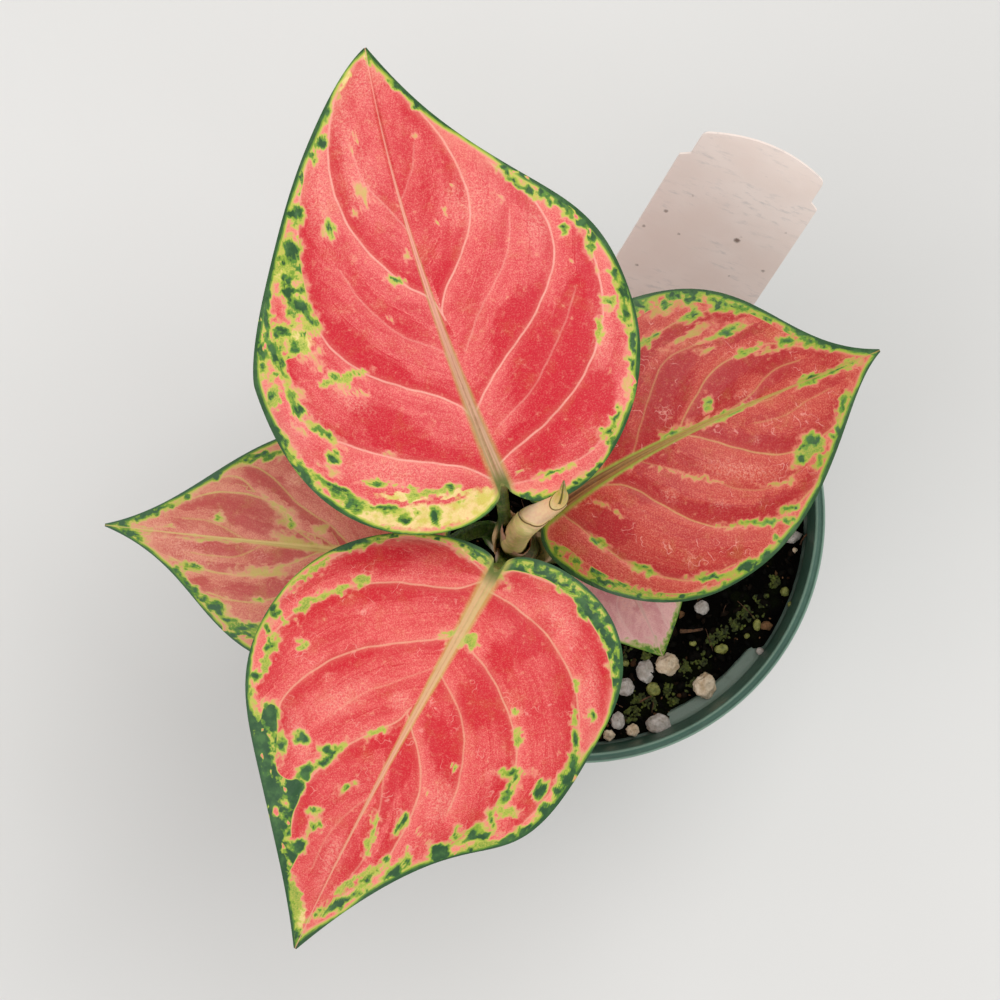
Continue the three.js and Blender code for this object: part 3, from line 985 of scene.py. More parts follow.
@dataclass
class Blade:
    """A leaf blade: its outline, the way it arches and droops, and its pattern.

    Plan sizes are blade millimetres: x from the junction to the tip, y to the left of it.
    Veins and spots are given in the picture; veins run from the midrib outwards.
    """

    number: int
    slot: str
    finish: BladeFinish
    junction: Point  # where the stalk joins the blade, in the model
    heading: float  # degrees in plan, anticlockwise from the x axis
    length: float
    drop: float  # how far the tip would hang below the junction without the arch
    arch: float  # four times the height of the midrib's arch
    fold: float  # slope at which the halves rise from the midrib
    roll: float  # how strongly the halves curl down towards the edge
    bow: Pixel  # how far the midrib's two control points stand to the left
    left: Side
    right: Side
    wave: tuple[float, float, float]  # height, count, phase
    veins: Sequence[tuple[float, Sequence[Pixel]]] = ()
    spots: dict[Mark, Sequence[Spot]] = field(default_factory=dict)
    bounds: Sequence[Bound] = ()
    bound_reach: float = 9.5  # the widest marginal band
    line: tuple[float, float] = (0.5, 1.2)  # the dark margin line, thinnest and thickest
    band: tuple[float, float] = (1.2, 3.0)  # the mottled band inside it
    rib: float = 1.25  # half width of the midrib at the junction
    columns: int = 88
    rows: int = 190
    crowding: float = 0.55  # how much closer the columns lie by the midrib and by the margin
    thickness: float = 0.42
    edge_thickness: float = 0.2

    # ---------------------------------- form

    def _midrib(self, share: np.ndarray) -> np.ndarray:
        """Points on the midrib in plan.

        Args:
            share: places along it, from 0 to 1.

        Returns:
            One row for each place.
        """
        first = (self.length / 3, self.bow[0])
        second = (2 * self.length / 3, self.bow[1])
        return bezier([(0, 0), first, second, (self.length, 0)], share)

    @staticmethod
    def _vein_root(along: np.ndarray) -> np.ndarray:
        """Where on the midrib the row that ends at `along` on the edge starts.

        Args:
            along: from 0 at the sinus to 1 at the tip.

        Returns:
            The midrib's shares.
        """
        foot_fan = 0.42
        forward = np.maximum(0, (along - foot_fan) / (1 - foot_fan))
        return 0.06 * along + 0.94 * forward**2.1

    def plan(self, across: np.ndarray, along: np.ndarray) -> np.ndarray:
        """Places in plan.

        Args:
            across: from -1 at the right edge to 1 at the left edge.
            along: from 0 at the sinus to 1 at the tip.

        Returns:
            Blade coordinates, one row for each place.
        """
        outward = np.abs(across)[:, None]
        root = self._midrib(self._vein_root(along))
        ends = []
        for sign, side in ((-1, self.right), (1, self.left)):
            outline = side.outline(self.length, sign)
            places = np.linspace(0, 1, len(outline))
            ends.append(np.stack([np.interp(along, places, outline[:, i]) for i in (0, 1)], axis=1))
        end = np.where(across[:, None] > 0, ends[1], ends[0])
        bend = np.stack([blend(root[:, 0], end[:, 0], 0.22), blend(root[:, 1], end[:, 1], 0.78)], axis=1)
        return (1 - outward) ** 2 * root + 2 * outward * (1 - outward) * bend + outward**2 * end

    def height(self, plan: np.ndarray, across: np.ndarray, along: np.ndarray) -> np.ndarray:
        """Height of the smooth blade above its junction.

        Args:
            plan: blade coordinates, one row for each place.
            across: from -1 at the right edge to 1 at the left.
            along: from 0 at the sinus to 1 at the tip.

        Returns:
            The heights.
        """
        reach = plan[:, 0] / self.length
        middle = self._midrib(np.clip(reach, 0, 1))[:, 1]
        half = (self.left.half + self.right.half) / 2
        off = np.abs(plan[:, 1] - middle)
        spine = self.arch * reach * (1 - reach) - self.drop * reach**2
        section = self.fold * off - self.roll * off**2 / half
        height, count, phase = self.wave
        ripple = np.sin(math.pi * along) * np.sin(TURN * count * along + phase)
        return spine + section + height * np.abs(across) ** 3 * ripple

    def in_space(self, plan: np.ndarray, height: np.ndarray) -> np.ndarray:
        """Turns plan places and heights into points of the model.

        Args:
            plan: blade coordinates, one row for each place.
            height: heights above the junction.

        Returns:
            One row for each point.
        """
        heading = math.radians(self.heading)
        forward = np.array([math.cos(heading), math.sin(heading), 0])
        leftward = np.array([-math.sin(heading), math.cos(heading), 0])
        flat = np.array(self.junction) + plan[:, :1] * forward + plan[:, 1:] * leftward
        return flat + height[:, None] * np.array([0, 0, 1])

    # ---------------------------------- pattern

    def _reach(self, plan: np.ndarray) -> np.ndarray:
        """Shares of the length that places in plan reach, from 0 to 1."""
        return np.clip(plan[:, 0] / self.length, 0, 1)

    def _off_rib(self, plan: np.ndarray) -> np.ndarray:
        """Signed distances of places in plan from the midrib, positive on its left."""
        return plan[:, 1] - self._midrib(self._reach(plan))[:, 1]

    def _fields(
        self, plan: np.ndarray, height: np.ndarray, across: np.ndarray, along: np.ndarray
    ) -> dict[str, np.ndarray]:
        """Everything that the relief and the finishes need to know about each vertex.

        Args:
            plan: blade coordinates, one row for each vertex.
            height: heights of the smooth form above the junction.
            across: from -1 at the right edge to 1 at the left.
            along: from 0 at the sinus to 1 at the tip.

        Returns:
            One array for each mesh attribute, by its name.
        """
        pixels = VIEW.pixels_of(self.in_space(plan, height))
        size = float(VIEW.pixel_size(np.mean(height) + self.junction[2]))
        reach, off = self._reach(plan), self._off_rib(plan)
        fields = {"reach": reach, "rib": off / self._rib_half(reach), "margin": self._margin(plan)}
        fields |= self._vein_fields(pixels, size)
        # Positive on the side of each vein that faces the tip.
        fields["vein_tip"] = fields["vein_side"] * np.sign(off)
        fields |= self._spot_fields(pixels, size)
        fields |= self._bound_fields(pixels, size, fields["margin"])
        fields |= self._margin_fields(along, across)
        return fields

    def _rib_half(self, reach: np.ndarray) -> np.ndarray:
        """Half width of the midrib, in millimetres."""
        return 0.11 + self.rib * (1 - np.clip(reach, 0, 1)) ** 2.2

    def _vein_fields(self, pixels: np.ndarray, size: float) -> dict[str, np.ndarray]:
        """Distances to the nearest side vein, and how strong it is.

        Args:
            pixels: where each vertex shows in the picture.
            size: millimetres to the pixel.

        Returns:
            The distances without and with a sign, in millimetres, and the strength.
        """
        gap = side = np.full(len(pixels), FAR)
        strength = np.zeros(len(pixels))
        pixels = pixels + 0.3 * self._stray(pixels, 30.0)
        for power, points in self.veins:
            near, signed = line_distance(pixels, smooth_line(points, VEIN_STEPS))
            near, signed = near * size, signed * size
            # A weak vein only counts where it is much the nearer one.
            closer = near + (1 - power) * 1.5 < gap
            gap = np.where(closer, near, gap)
            side = np.where(closer, signed, side)
            strength = np.where(closer, power, strength)
        return {"vein_gap": gap, "vein_side": side, "vein_strength": strength}

    @staticmethod
    def _stray(pixels: np.ndarray, wave: float) -> np.ndarray:
        """A smooth wander of the pixels, of about one pixel, over `wave` pixels.

        Args:
            pixels: columns and rows of the picture, one pair for each vertex.
            wave: how far apart the wander repeats, roughly.

        Returns:
            The shifts, one pair for each pixel.
        """
        x, y = pixels[:, 0] * (TURN / wave), pixels[:, 1] * (TURN / wave)
        sideways = np.sin(0.83 * x + 1.1 * np.sin(0.61 * y)) + 0.7 * np.sin(1.3 * y - 0.5 * x + 2)
        upright = np.sin(0.91 * y + 1.2 * np.sin(0.57 * x + 1)) + 0.7 * np.sin(1.2 * x + 0.6 * y + 4)
        return np.stack([sideways, upright], axis=1)

    def _spot_fields(self, pixels: np.ndarray, size: float) -> dict[str, np.ndarray]:
        """One field for each kind of mark: millimetres inside sharp ones, 0 to 1 for the others.

        Args:
            pixels: columns and rows of the picture, one pair for each vertex.
            size: millimetres to the pixel.

        Returns:
            The fields by the attribute's name.
        """
        fields = {}
        pixels = pixels + 1.5 * self._stray(pixels, 17.0) + 0.9 * self._stray(pixels[:, ::-1], 8.0)
        for mark in Mark:
            sharp = mark in SHARP_MARKS
            total = np.full(len(pixels), OUTSIDE if sharp else 0.0)
            for column, row, length, width, angle in self.spots.get(mark, ()):
                turn = math.radians(angle)
                dx, dy = pixels[:, 0] - column, row - pixels[:, 1]
                along = (dx * math.cos(turn) + dy * math.sin(turn)) / (length / 2)
                across = (dy * math.cos(turn) - dx * math.sin(turn)) / (width / 2)
                inside = 1 - np.hypot(along, across)
                if sharp:
                    found = np.maximum(inside * min(length, width) / 2 * size + 0.12, OUTSIDE)
                else:
                    found = np.clip(inside + 0.35, 0, 1)
                total = np.maximum(total, found)
            fields[mark.value] = total
        return fields

    def _bound_fields(self, pixels: np.ndarray, size: float, margin: np.ndarray) -> dict[str, np.ndarray]:
        """How far outside a marginal band's inner boundary a place lies, and how green the band is.

        Args:
            pixels: columns and rows of the picture, one pair for each vertex.
            size: millimetres to the pixel.
            margin: millimetres to the blade's edge.

        Returns:
            The fields `outer` and `cover`.
        """
        outer, cover = np.full(len(pixels), OUTSIDE), np.full(len(pixels), 0.5)
        for share, points in self.bounds:
            near, signed = line_distance(pixels, smooth_line(points, BOUND_STEPS))
            within = (margin < self.bound_reach) & (near * size <= BOUND_NEAR)
            signed = np.where(within, np.clip(signed * size, OUTSIDE, -OUTSIDE), OUTSIDE)
            cover = np.where(signed > outer, share, cover)
            outer = np.maximum(outer, signed)
        return {"outer": outer, "cover": cover}

    def _margin_fields(self, along: np.ndarray, across: np.ndarray) -> dict[str, np.ndarray]:
        """Widths of the dark margin line and of the mottled band, which vary round the edge.

        Args:
            along: from 0 at the sinus to 1 at the tip.
            across: from -1 to 1.

        Returns:
            The fields `line` and `band`.
        """
        seat = along * 9 + np.sign(across) * 3.7 + self.number * 5.1
        slow = 0.5 + 0.5 * np.sin(2.1 * seat) * np.cos(0.9 * seat + 1)
        quick = 0.5 + 0.5 * np.sin(6.3 * seat + 2) * np.sin(3.7 * seat)
        fade = smooth(along, 0.0, 0.06)
        line = blend(*self.line, 0.65 * slow + 0.35 * quick) * blend(0.6, 1, fade)
        band = blend(*self.band, 0.6 * quick + 0.4 * slow) * fade
        return {"line": line, "band": band}

    def _relief(self, fields: dict[str, np.ndarray]) -> np.ndarray:
        """Millimetres that the upper face stands above the smooth form.

        Args:
            fields: all the vertices' fields.

        Returns:
            The heights.
        """
        rib = np.abs(fields["rib"])
        channel = -0.42 * (1 - fields["reach"]) ** 2.2 * np.exp(-((rib / 0.62) ** 2))
        shoulder = 0.2 * (1 - fields["reach"]) ** 2 * np.exp(-(((rib - 1.25) / 0.4) ** 2))
        gap = fields["vein_gap"]
        crease = -0.26 * fields["vein_strength"] * np.exp(-((gap / 0.55) ** 2))
        quilt = 0.55 * smooth(gap, 0.2, 6.5) * smooth(fields["margin"], 0.5, 7) * smooth(rib, 1, 5)
        return channel + shoulder + crease + quilt

    def _depths(self, fields: dict[str, np.ndarray], off: np.ndarray) -> tuple[np.ndarray, ...]:
        """What stands between the upper face and the underside, in millimetres.

        Args:
            fields: all the vertices' fields.
            off: signed distances from the midrib.

        Returns:
            The sheet's thickness, the midrib's keel and the side veins' ridges.
        """
        thickness = blend(self.edge_thickness, self.thickness, smooth(fields["margin"], 0, 1.6))
        keel = 1.25 * (1 - fields["reach"]) ** 0.7 * np.exp(-((off / (0.016 * self.length + 0.4)) ** 2))
        keel = keel * smooth(fields["margin"], 0, 1.2)
        ridge = 0.3 * fields["vein_strength"] * np.exp(-((fields["vein_gap"] / 0.7) ** 2))
        return thickness, keel, ridge

    # ---------------------------------- mesh

    def _grid(self) -> bpy.types.Mesh:
        """A closed sheet of quads whose vertices still lie at (across, along, face).

        Returns:
            The sheet; faces on its underside have material 1.
        """
        shape = bmesh.new()
        bmesh.ops.create_grid(shape, x_segments=2 * self.columns, y_segments=self.rows, size=1.0)
        grown = bmesh.ops.extrude_face_region(shape, geom=shape.faces[:])
        for vert in (v for v in grown["geom"] if isinstance(v, bmesh.types.BMVert)):
            vert.co.z = 1.0
        bmesh.ops.recalc_face_normals(shape, faces=shape.faces)
        for face in shape.faces:
            face.material_index = 1 if all(v.co.z < 0.5 for v in face.verts) else 0
        return as_mesh("blade", shape)

    def build(self, workshop: Workshop) -> None:
        """Builds and dresses the blade.

        Args:
            workshop: makes the pieces.
        """
        mesh = self._grid()
        seats = np.zeros(len(mesh.vertices) * 3)
        mesh.vertices.foreach_get("co", seats)
        seats = seats.reshape(-1, 3)
        # Columns are closer together by the midrib and by the margin.
        spread = self.crowding * np.sin(TURN * np.abs(seats[:, 0])) / TURN
        across = np.sign(seats[:, 0]) * (np.abs(seats[:, 0]) - spread)
        along = (seats[:, 1] + 1) / 2
        upper = seats[:, 2] > 0.5

        plan = self.plan(across, along)
        height = self.height(plan, across, along)
        off = self._off_rib(plan)
        fields = self._fields(plan, height, across, along)
        height = height + self._relief(fields) * smooth(fields["margin"], 0, 0.8)
        thickness, keel, ridge = self._depths(fields, off)
        height = np.where(upper, height, height - thickness - keel - ridge)
        mesh.vertices.foreach_set("co", self.in_space(plan, height).ravel())

        for name, values in fields.items():
            layer = mesh.attributes.new(name, "FLOAT", "POINT")
            layer.data.foreach_set("value", values.astype(np.float32))
        half = np.where(off > 0, self.left.half, self.right.half)
        self._map(mesh, "flow", along * self.length * 1.3, np.abs(across) * half + (off > 0) * 97)
        self._map(mesh, "rib_flow", off, plan[:, 0])
        mesh.update()
        node = f"blade_{self.number}"
        materials = [self.finish.upper(f"{node}_upper"), self.finish.lower(f"{node}_lower")]
        workshop.piece(f"leaf_{node}", mesh, self.slot, [node], materials)

    def _margin(self, plan: np.ndarray) -> np.ndarray:
        """Distance to the blade's edge in plan, in millimetres.

        Args:
            plan: blade coordinates.

        Returns:
            The distances.
        """
        gaps = []
        for sign, side in ((-1, self.right), (1, self.left)):
            outline = side.outline(self.length, sign)[::7]
            gaps.append(line_distance(plan, outline)[0])
        return np.minimum(*gaps)

    @staticmethod
    def _map(mesh: bpy.types.Mesh, name: str, u: np.ndarray, v: np.ndarray) -> None:
        """Adds a UV map from one pair of numbers for each vertex.

        Args:
            mesh: takes the map.
            name: the map's name.
            u: first numbers.
            v: second numbers.
        """
        corners = np.zeros(len(mesh.loops), np.int32)
        mesh.loops.foreach_get("vertex_index", corners)
        pairs = np.stack([u[corners], v[corners]], axis=1).astype(np.float32)
        mesh.uv_layers.new(name=name).uv.foreach_set("vector", pairs.ravel())


BLADES = (
    Blade(
        number=1,
        slot="young_blade",
        finish=YOUNG,
        junction=(-16.6, 6.4, 162),
        heading=107.5,
        length=91.8,
        drop=8,
        arch=14,
        fold=0.2,
        roll=0.24,
        bow=(3.0, 4.0),
        left=Side(back=-9.5, out=5, run=-8.5, widest=33, half=41, shoulder=40.5, point=83, slope=16.5),
        right=Side(back=-14.5, out=11.5, run=5, widest=27.5, half=35.5, shoulder=57.5, point=53, slope=15.5),
        wave=(1.3, 4, 0.6),
        line=(0.55, 1.4),
        band=(0.6, 3.2),
        veins=(
            (1.0, ((490, 478), (466, 468), (440, 464), (398, 459), (353, 447), (318, 433), (297, 412),
                   (280, 375), (271, 343), (264, 300))),
            (1.0, ((478, 424), (464, 409), (440, 397), (406, 388), (366, 374), (336, 353), (318, 331),
                   (305, 300), (298, 254), (299, 205), (306, 165))),
            (1.0, ((446, 320), (432, 300), (402, 283), (370, 254), (347, 224), (332, 185), (328, 147),
                   (333, 107), (346, 68))),
            (0.4, ((412, 240), (405, 227), (378, 199), (361, 178), (352, 150))),
            (0.35, ((461, 372), (440, 350), (400, 335), (360, 300), (340, 270))),
            (1.0, ((495, 468), (506, 457), (526, 440), (551, 418), (577, 386), (592, 358), (602, 324),
                   (602, 293), (597, 267), (588, 240))),
            (1.0, ((476, 412), (482, 398), (499, 367), (525, 331), (542, 299), (554, 262), (551, 230),
                   (537, 204), (516, 184), (491, 163))),
            (1.0, ((442, 312), (445, 292), (456, 267), (468, 232), (470, 205), (462, 177), (448, 148),
                   (437, 132), (415, 105))),
            (0.4, ((466, 350), (479, 313), (497, 278), (508, 250), (510, 215))),
            (0.35, ((500, 425), (530, 392), (551, 354), (565, 322), (575, 290))),
            (0.55, ((512, 484), (534, 479), (560, 468), (585, 456), (602, 440))),
            (0.3, ((402, 199), (412, 170), (414, 145))),
        ),
        spots={
            Mark.GREEN: (
                (330, 228, 5, 12, 15), (321, 143, 9, 11, 60), (312, 156, 5, 9, 40), (327, 112, 6, 13, -15),
                (297, 214, 8, 14, 10), (290, 247, 17, 14, 0), (283, 261, 6, 10, 0), (294, 258, 5, 12, 10),
                (270, 273, 7, 15, -10), (267, 300, 9, 44, -3), (283, 285, 10, 5, -20),
                (289, 295, 14, 9, -50), (301, 307, 18, 9, -35), (312, 321, 14, 7, -50),
                (303, 335, 8, 4, -15), (261, 352, 9, 14, 0), (276, 356, 7, 40, 24), (291, 250, 10, 20, 0),
                (273, 395, 6, 6, 0), (291, 396, 4, 16, 22), (298, 411, 8, 9, 0), (323, 432, 16, 4, -35),
                (333, 458, 10, 8, -15), (340, 377, 10, 3, 5), (353, 374, 13, 4, 12), (396, 281, 9, 4, -20),
                (276, 434, 8, 34, 40), (302, 473, 8, 44, 38), (332, 490, 20, 3, -38), (348, 505, 9, 9, 0),
                (357, 509, 9, 6, 0), (376, 483, 9, 3, -5), (384, 509, 18, 4, -5), (406, 519, 9, 6, 0),
                (452, 488, 8, 5, 10), (368, 56, 4, 12, 40), (402, 88, 30, 6, -42), (418, 103, 16, 8, -40),
                (505, 169, 6, 9, 0), (528, 190, 14, 6, -38), (516, 182, 20, 4, -40), (538, 177, 18, 8, -30),
                (543, 192, 6, 6, 0), (548, 200, 5, 7, 0), (563, 205, 24, 4, -52), (583, 222, 10, 10, 0),
                (592, 236, 9, 14, 20), (590, 247, 5, 8, 0), (564, 229, 5, 5, 0), (616, 275, 6, 14, 25),
                (624, 293, 8, 18, 15), (626, 314, 7, 14, 10), (609, 303, 3, 3, 0), (633, 340, 8, 22, 0),
                (632, 365, 5, 12, 5), (633, 392, 4, 10, 0), (617, 417, 5, 14, -25), (609, 431, 10, 6, 20),
                (627, 430, 9, 18, -20), (614, 441, 8, 5, 0), (604, 466, 9, 16, -45), (592, 475, 9, 8, 0),
                (579, 484, 8, 7, 0), (555, 472, 10, 2, 22), (535, 499, 34, 8, 4), (435, 517, 8, 16, 10),
                (340, 491, 44, 5, -30), (352, 504, 10, 8, 0), (266, 318, 5, 60, 0),
            ),
            Mark.FRESH: (
                (284, 268, 22, 10, 0), (288, 276, 6, 14, -30), (309, 327, 14, 6, -40),
                (300, 346, 20, 10, -20), (281, 344, 6, 12, 0), (340, 379, 18, 5, 12), (412, 488, 5, 4, 0),
                (452, 488, 8, 6, 0), (378, 483, 18, 4, -4), (412, 496, 8, 5, 20), (431, 493, 20, 4, 4),
                (274, 398, 8, 22, -8), (346, 380, 8, 14, 20), (326, 384, 8, 6, 0), (610, 300, 12, 8, 0),
                (600, 330, 5, 14, 0),
            ),
            Mark.THIN: (
                (336, 80, 40, 90, 20), (345, 60, 40, 60, 20), (430, 522, 150, 40, 0), (300, 470, 60, 60, 0),
                (470, 150, 90, 60, -40), (520, 495, 60, 40, 0), (600, 470, 50, 50, 0), (640, 400, 30, 40, 0),
            ),
            Mark.GAP: (
                (277, 305, 17, 38, -3), (305, 322, 6, 6, 0), (265, 346, 6, 8, 0), (287, 255, 5, 6, 0),
                (260, 320, 4, 7, 0), (261, 333, 4, 6, 0), (282, 280, 16, 4, -10),
                (516, 173, 9, 5, -35), (527, 179, 6, 9, 30), (534, 187, 6, 7, 0), (613, 430, 5, 8, -20),
                (574, 214, 22, 4, -50), (588, 232, 4, 10, 10), (632, 380, 6, 14, 0),
            ),
            Mark.LIME: (
                (324, 230, 12, 14, 0), (302, 330, 26, 12, -35), (262, 372, 8, 26, -10),
                (340, 384, 8, 12, 0), (328, 383, 12, 6, 0), (320, 351, 8, 8, 0), (301, 357, 7, 11, 15),
                (274, 406, 6, 14, -10), (391, 320, 13, 4, -20), (333, 462, 16, 16, 0),
                (346, 494, 12, 7, -30), (412, 497, 12, 9, 0), (389, 454, 16, 4, -5), (355, 138, 8, 6, 0),
                (353, 152, 4, 15, 0), (361, 192, 12, 26, 20), (368, 204, 14, 8, 20), (356, 214, 10, 6, 0),
                (406, 256, 10, 9, -45), (416, 136, 7, 6, 0), (453, 186, 6, 9, 30), (444, 211, 5, 7, 0),
                (439, 222, 5, 5, 0), (609, 307, 15, 13, 0), (602, 330, 6, 18, -12), (565, 230, 9, 10, 30),
                (571, 261, 12, 6, -50), (501, 198, 4, 10, 20), (597, 270, 5, 12, 0), (591, 451, 14, 4, 35),
                (552, 473, 20, 5, 22), (520, 472, 8, 4, 0), (574, 490, 34, 8, 18), (358, 56, 14, 14, 0),
                (336, 90, 8, 26, 15), (533, 491, 14, 5, 0), (452, 488, 18, 9, 10), (627, 384, 8, 40, -4),
                (620, 445, 14, 20, -30), (300, 292, 22, 40, 0), (308, 352, 44, 10, -40),
                (330, 374, 48, 7, -26), (300, 392, 24, 12, -42), (356, 394, 34, 6, -8),
                (290, 345, 16, 20, 10), (300, 430, 20, 8, -40), (330, 470, 30, 8, -30),
            ),
            Mark.CREAM: (
                (372, 514, 80, 22, -12), (425, 517, 90, 26, 4), (474, 505, 56, 24, 24),
                (345, 76, 9, 26, -20), (404, 497, 50, 6, -4), (455, 494, 40, 5, 8), (300, 340, 30, 16, -20),
                (284, 276, 20, 14, 0), (364, 56, 8, 12, 0),
            ),
            Mark.PALE: (
                (352, 211, 12, 12, 0), (368, 162, 15, 7, -40), (521, 364, 12, 3, 38), (536, 417, 6, 2, 40),
                (511, 313, 4, 2, 45), (418, 218, 3, 3, 0), (450, 195, 12, 8, 0), (400, 480, 60, 20, 0),
                (350, 400, 60, 20, -30), (340, 120, 30, 120, 15), (318, 190, 34, 90, 10),
                (535, 225, 30, 50, 0), (366, 80, 40, 60, 0), (360, 180, 40, 70, 10),
                (470, 200, 60, 60, -20), (390, 470, 120, 24, -4), (300, 420, 30, 50, 20),
                (600, 340, 20, 60, 0),
            ),
            Mark.DEEP: (
                (560, 400, 60, 110, -35), (535, 440, 50, 50, 0), (345, 345, 60, 30, -35),
                (380, 370, 60, 24, -20), (520, 320, 40, 70, -30), (385, 420, 70, 24, -20),
                (600, 395, 30, 50, 0), (400, 440, 60, 16, -10), (548, 355, 60, 100, -35),
                (575, 300, 26, 60, -20),
            ),
        },
        bounds=(
            (0.43, ((284, 160), (303, 172), (299, 200), (298, 240), (302, 276), (312, 317), (325, 336),
                    (317, 345), (305, 346), (297, 356), (285, 360), (279, 374), (262, 388), (240, 386))),
            (0.26, ((296, 470), (316, 482), (332, 489), (350, 498), (370, 507), (400, 509), (440, 506),
                    (464, 500), (492, 491), (512, 491))),
        ),
    ),
    Blade(
        number=2,
        slot="young_blade",
        finish=SECOND,
        junction=(-18.2, -10.6, 150),
        heading=-117.8,
        length=88.6,
        drop=20,
        arch=20,
        fold=0.14,
        roll=0.3,
        bow=(-0.8, -1.6),
        left=Side(back=-9, out=0, run=-11.5, widest=17, half=34.5, shoulder=65.5, point=35, slope=20),
        right=Side(back=-6, out=2.5, run=0.5, widest=31, half=37, shoulder=50, point=58.5, slope=19),
        wave=(1.2, 3.5, 2.2),
        line=(0.5, 1.2),
        band=(0.5, 2.4),
        veins=(
            (0.9, ((486, 574), (470, 560), (443, 544), (398, 538), (356, 547), (324, 563), (296, 582),
                   (270, 604))),
            (1.0, ((480, 582), (457, 588), (430, 586), (387, 582), (341, 589), (310, 604), (281, 624),
                   (267, 655), (259, 680))),
            (1.0, ((456, 632), (442, 638), (401, 643), (363, 648), (331, 660), (302, 679), (283, 698),
                   (277, 716), (273, 750), (270, 780))),
            (1.0, ((411, 708), (397, 721), (361, 738), (338, 751), (319, 768), (303, 786), (296, 802),
                   (290, 830))),
            (0.4, ((366, 800), (345, 815), (325, 840), (312, 868))),
            (0.35, ((436, 667), (400, 680), (362, 694), (330, 716))),
            (1.0, ((494, 586), (499, 576), (517, 571), (541, 579), (567, 592), (585, 614), (601, 638),
                   (611, 665), (614, 694), (612, 720))),
            (1.0, ((484, 590), (505, 600), (529, 618), (549, 638), (564, 662), (575, 687), (579, 718),
                   (576, 743), (567, 770), (546, 799), (525, 822))),
            (1.0, ((462, 630), (471, 650), (488, 671), (503, 700), (513, 727), (517, 750), (513, 778),
                   (497, 805), (480, 826), (448, 850))),
            (0.8, ((436, 666), (448, 688), (460, 715), (464, 745), (458, 785), (448, 812))),
            (1.0, ((407, 712), (414, 737), (420, 765), (419, 793), (406, 827), (391, 853), (375, 874),
                   (347, 893), (325, 910))),
            (0.5, ((384, 762), (382, 790), (376, 827), (366, 855), (350, 878))),
        ),
        spots={
            Mark.GREEN: (
                (273, 607, 7, 17, 15), (268, 629, 6, 6, 0), (270, 646, 4, 10, -20), (255, 676, 10, 8, 0),
                (251, 692, 5, 10, 0), (270, 717, 13, 24, -8), (253, 722, 9, 26, 8), (356, 543, 30, 8, 14),
                (302, 737, 12, 9, -30), (281, 744, 5, 14, 0), (262, 746, 16, 50, 8), (270, 792, 22, 40, 10),
                (274, 832, 18, 44, 8), (282, 868, 12, 44, 12), (287, 905, 9, 50, 10),
                (306, 772, 16, 10, 40), (324, 762, 12, 8, 20), (325, 750, 7, 9, 0), (335, 752, 12, 4, 45),
                (297, 788, 16, 10, 45), (299, 846, 14, 10, 30), (316, 826, 6, 6, 0), (314, 811, 6, 4, 0),
                (347, 787, 8, 4, 25), (404, 820, 6, 8, -20), (400, 828, 7, 3, 50), (440, 853, 20, 15, 20),
                (407, 862, 5, 12, 0), (393, 873, 18, 10, 25), (386, 861, 4, 6, 0), (368, 878, 13, 4, 45),
                (296, 936, 10, 10, 0), (340, 903, 40, 6, 28), (455, 767, 3, 3, 0), (513, 773, 12, 3, 0),
                (515, 778, 3, 9, 0), (507, 793, 4, 16, -25), (492, 821, 5, 12, 10), (482, 836, 10, 11, 0),
                (471, 835, 18, 6, 38), (456, 834, 4, 7, -10), (472, 851, 9, 8, 0), (541, 790, 8, 14, -25),
                (510, 839, 24, 9, 24), (525, 831, 14, 7, 30), (549, 810, 20, 13, 40), (558, 793, 9, 9, 0),
                (573, 763, 9, 19, -15), (576, 739, 5, 12, 0), (592, 714, 5, 5, 0), (545, 572, 26, 5, -16),
                (563, 586, 14, 5, -40), (584, 605, 11, 22, 20), (604, 632, 7, 24, 20), (615, 657, 7, 30, 6),
                (572, 590, 10, 8, 0), (617, 690, 5, 20, -5), (478, 553, 30, 4, -48), (449, 531, 14, 3, -20),
                (569, 778, 12, 22, -40), (457, 858, 30, 4, 10),
            ),
            Mark.FRESH: (
                (321, 596, 15, 5, 28), (306, 604, 17, 6, 42), (342, 589, 12, 4, 22), (361, 580, 12, 8, 10),
                (303, 645, 9, 7, 0), (286, 621, 8, 5, 0), (272, 647, 6, 16, -20), (266, 664, 8, 16, -20),
                (372, 538, 28, 6, 6), (320, 565, 20, 5, 36), (302, 578, 18, 4, 40), (577, 686, 6, 9, 0),
                (574, 720, 5, 16, 0), (592, 715, 8, 10, 0), (516, 712, 7, 6, 0), (518, 738, 5, 12, 0),
                (378, 732, 16, 4, 20), (368, 846, 6, 14, -10), (374, 830, 3, 14, -10),
                (295, 900, 10, 34, 8), (345, 887, 14, 5, 28), (365, 873, 16, 4, 30), (468, 641, 16, 12, 0),
                (450, 633, 14, 5, 12), (483, 847, 38, 10, 18), (512, 842, 30, 8, 22),
                (549, 812, 28, 10, 42), (505, 812, 16, 6, -10),
            ),
            Mark.THIN: (
                (300, 580, 120, 40, 45), (400, 540, 120, 30, 0), (262, 640, 24, 60, 0),
                (258, 690, 16, 30, 0), (340, 912, 40, 16, 28), (600, 730, 30, 60, -20),
            ),
            Mark.GAP: (
                (286, 790, 7, 10, 0), (262, 756, 4, 9, 0), (276, 811, 6, 9, -20), (288, 822, 5, 12, 0),
                (268, 812, 4, 18, 5), (282, 848, 5, 9, 0), (262, 730, 5, 9, 0), (272, 772, 5, 7, 20),
                (457, 851, 8, 7, 0), (574, 777, 4, 10, -25),
            ),
            Mark.LIME: (
                (303, 645, 11, 8, 0), (361, 579, 14, 10, 20), (341, 589, 18, 4, 22), (288, 620, 10, 6, 0),
                (314, 820, 10, 26, -15), (307, 833, 9, 16, -20), (455, 768, 9, 7, -20), (427, 792, 6, 6, 0),
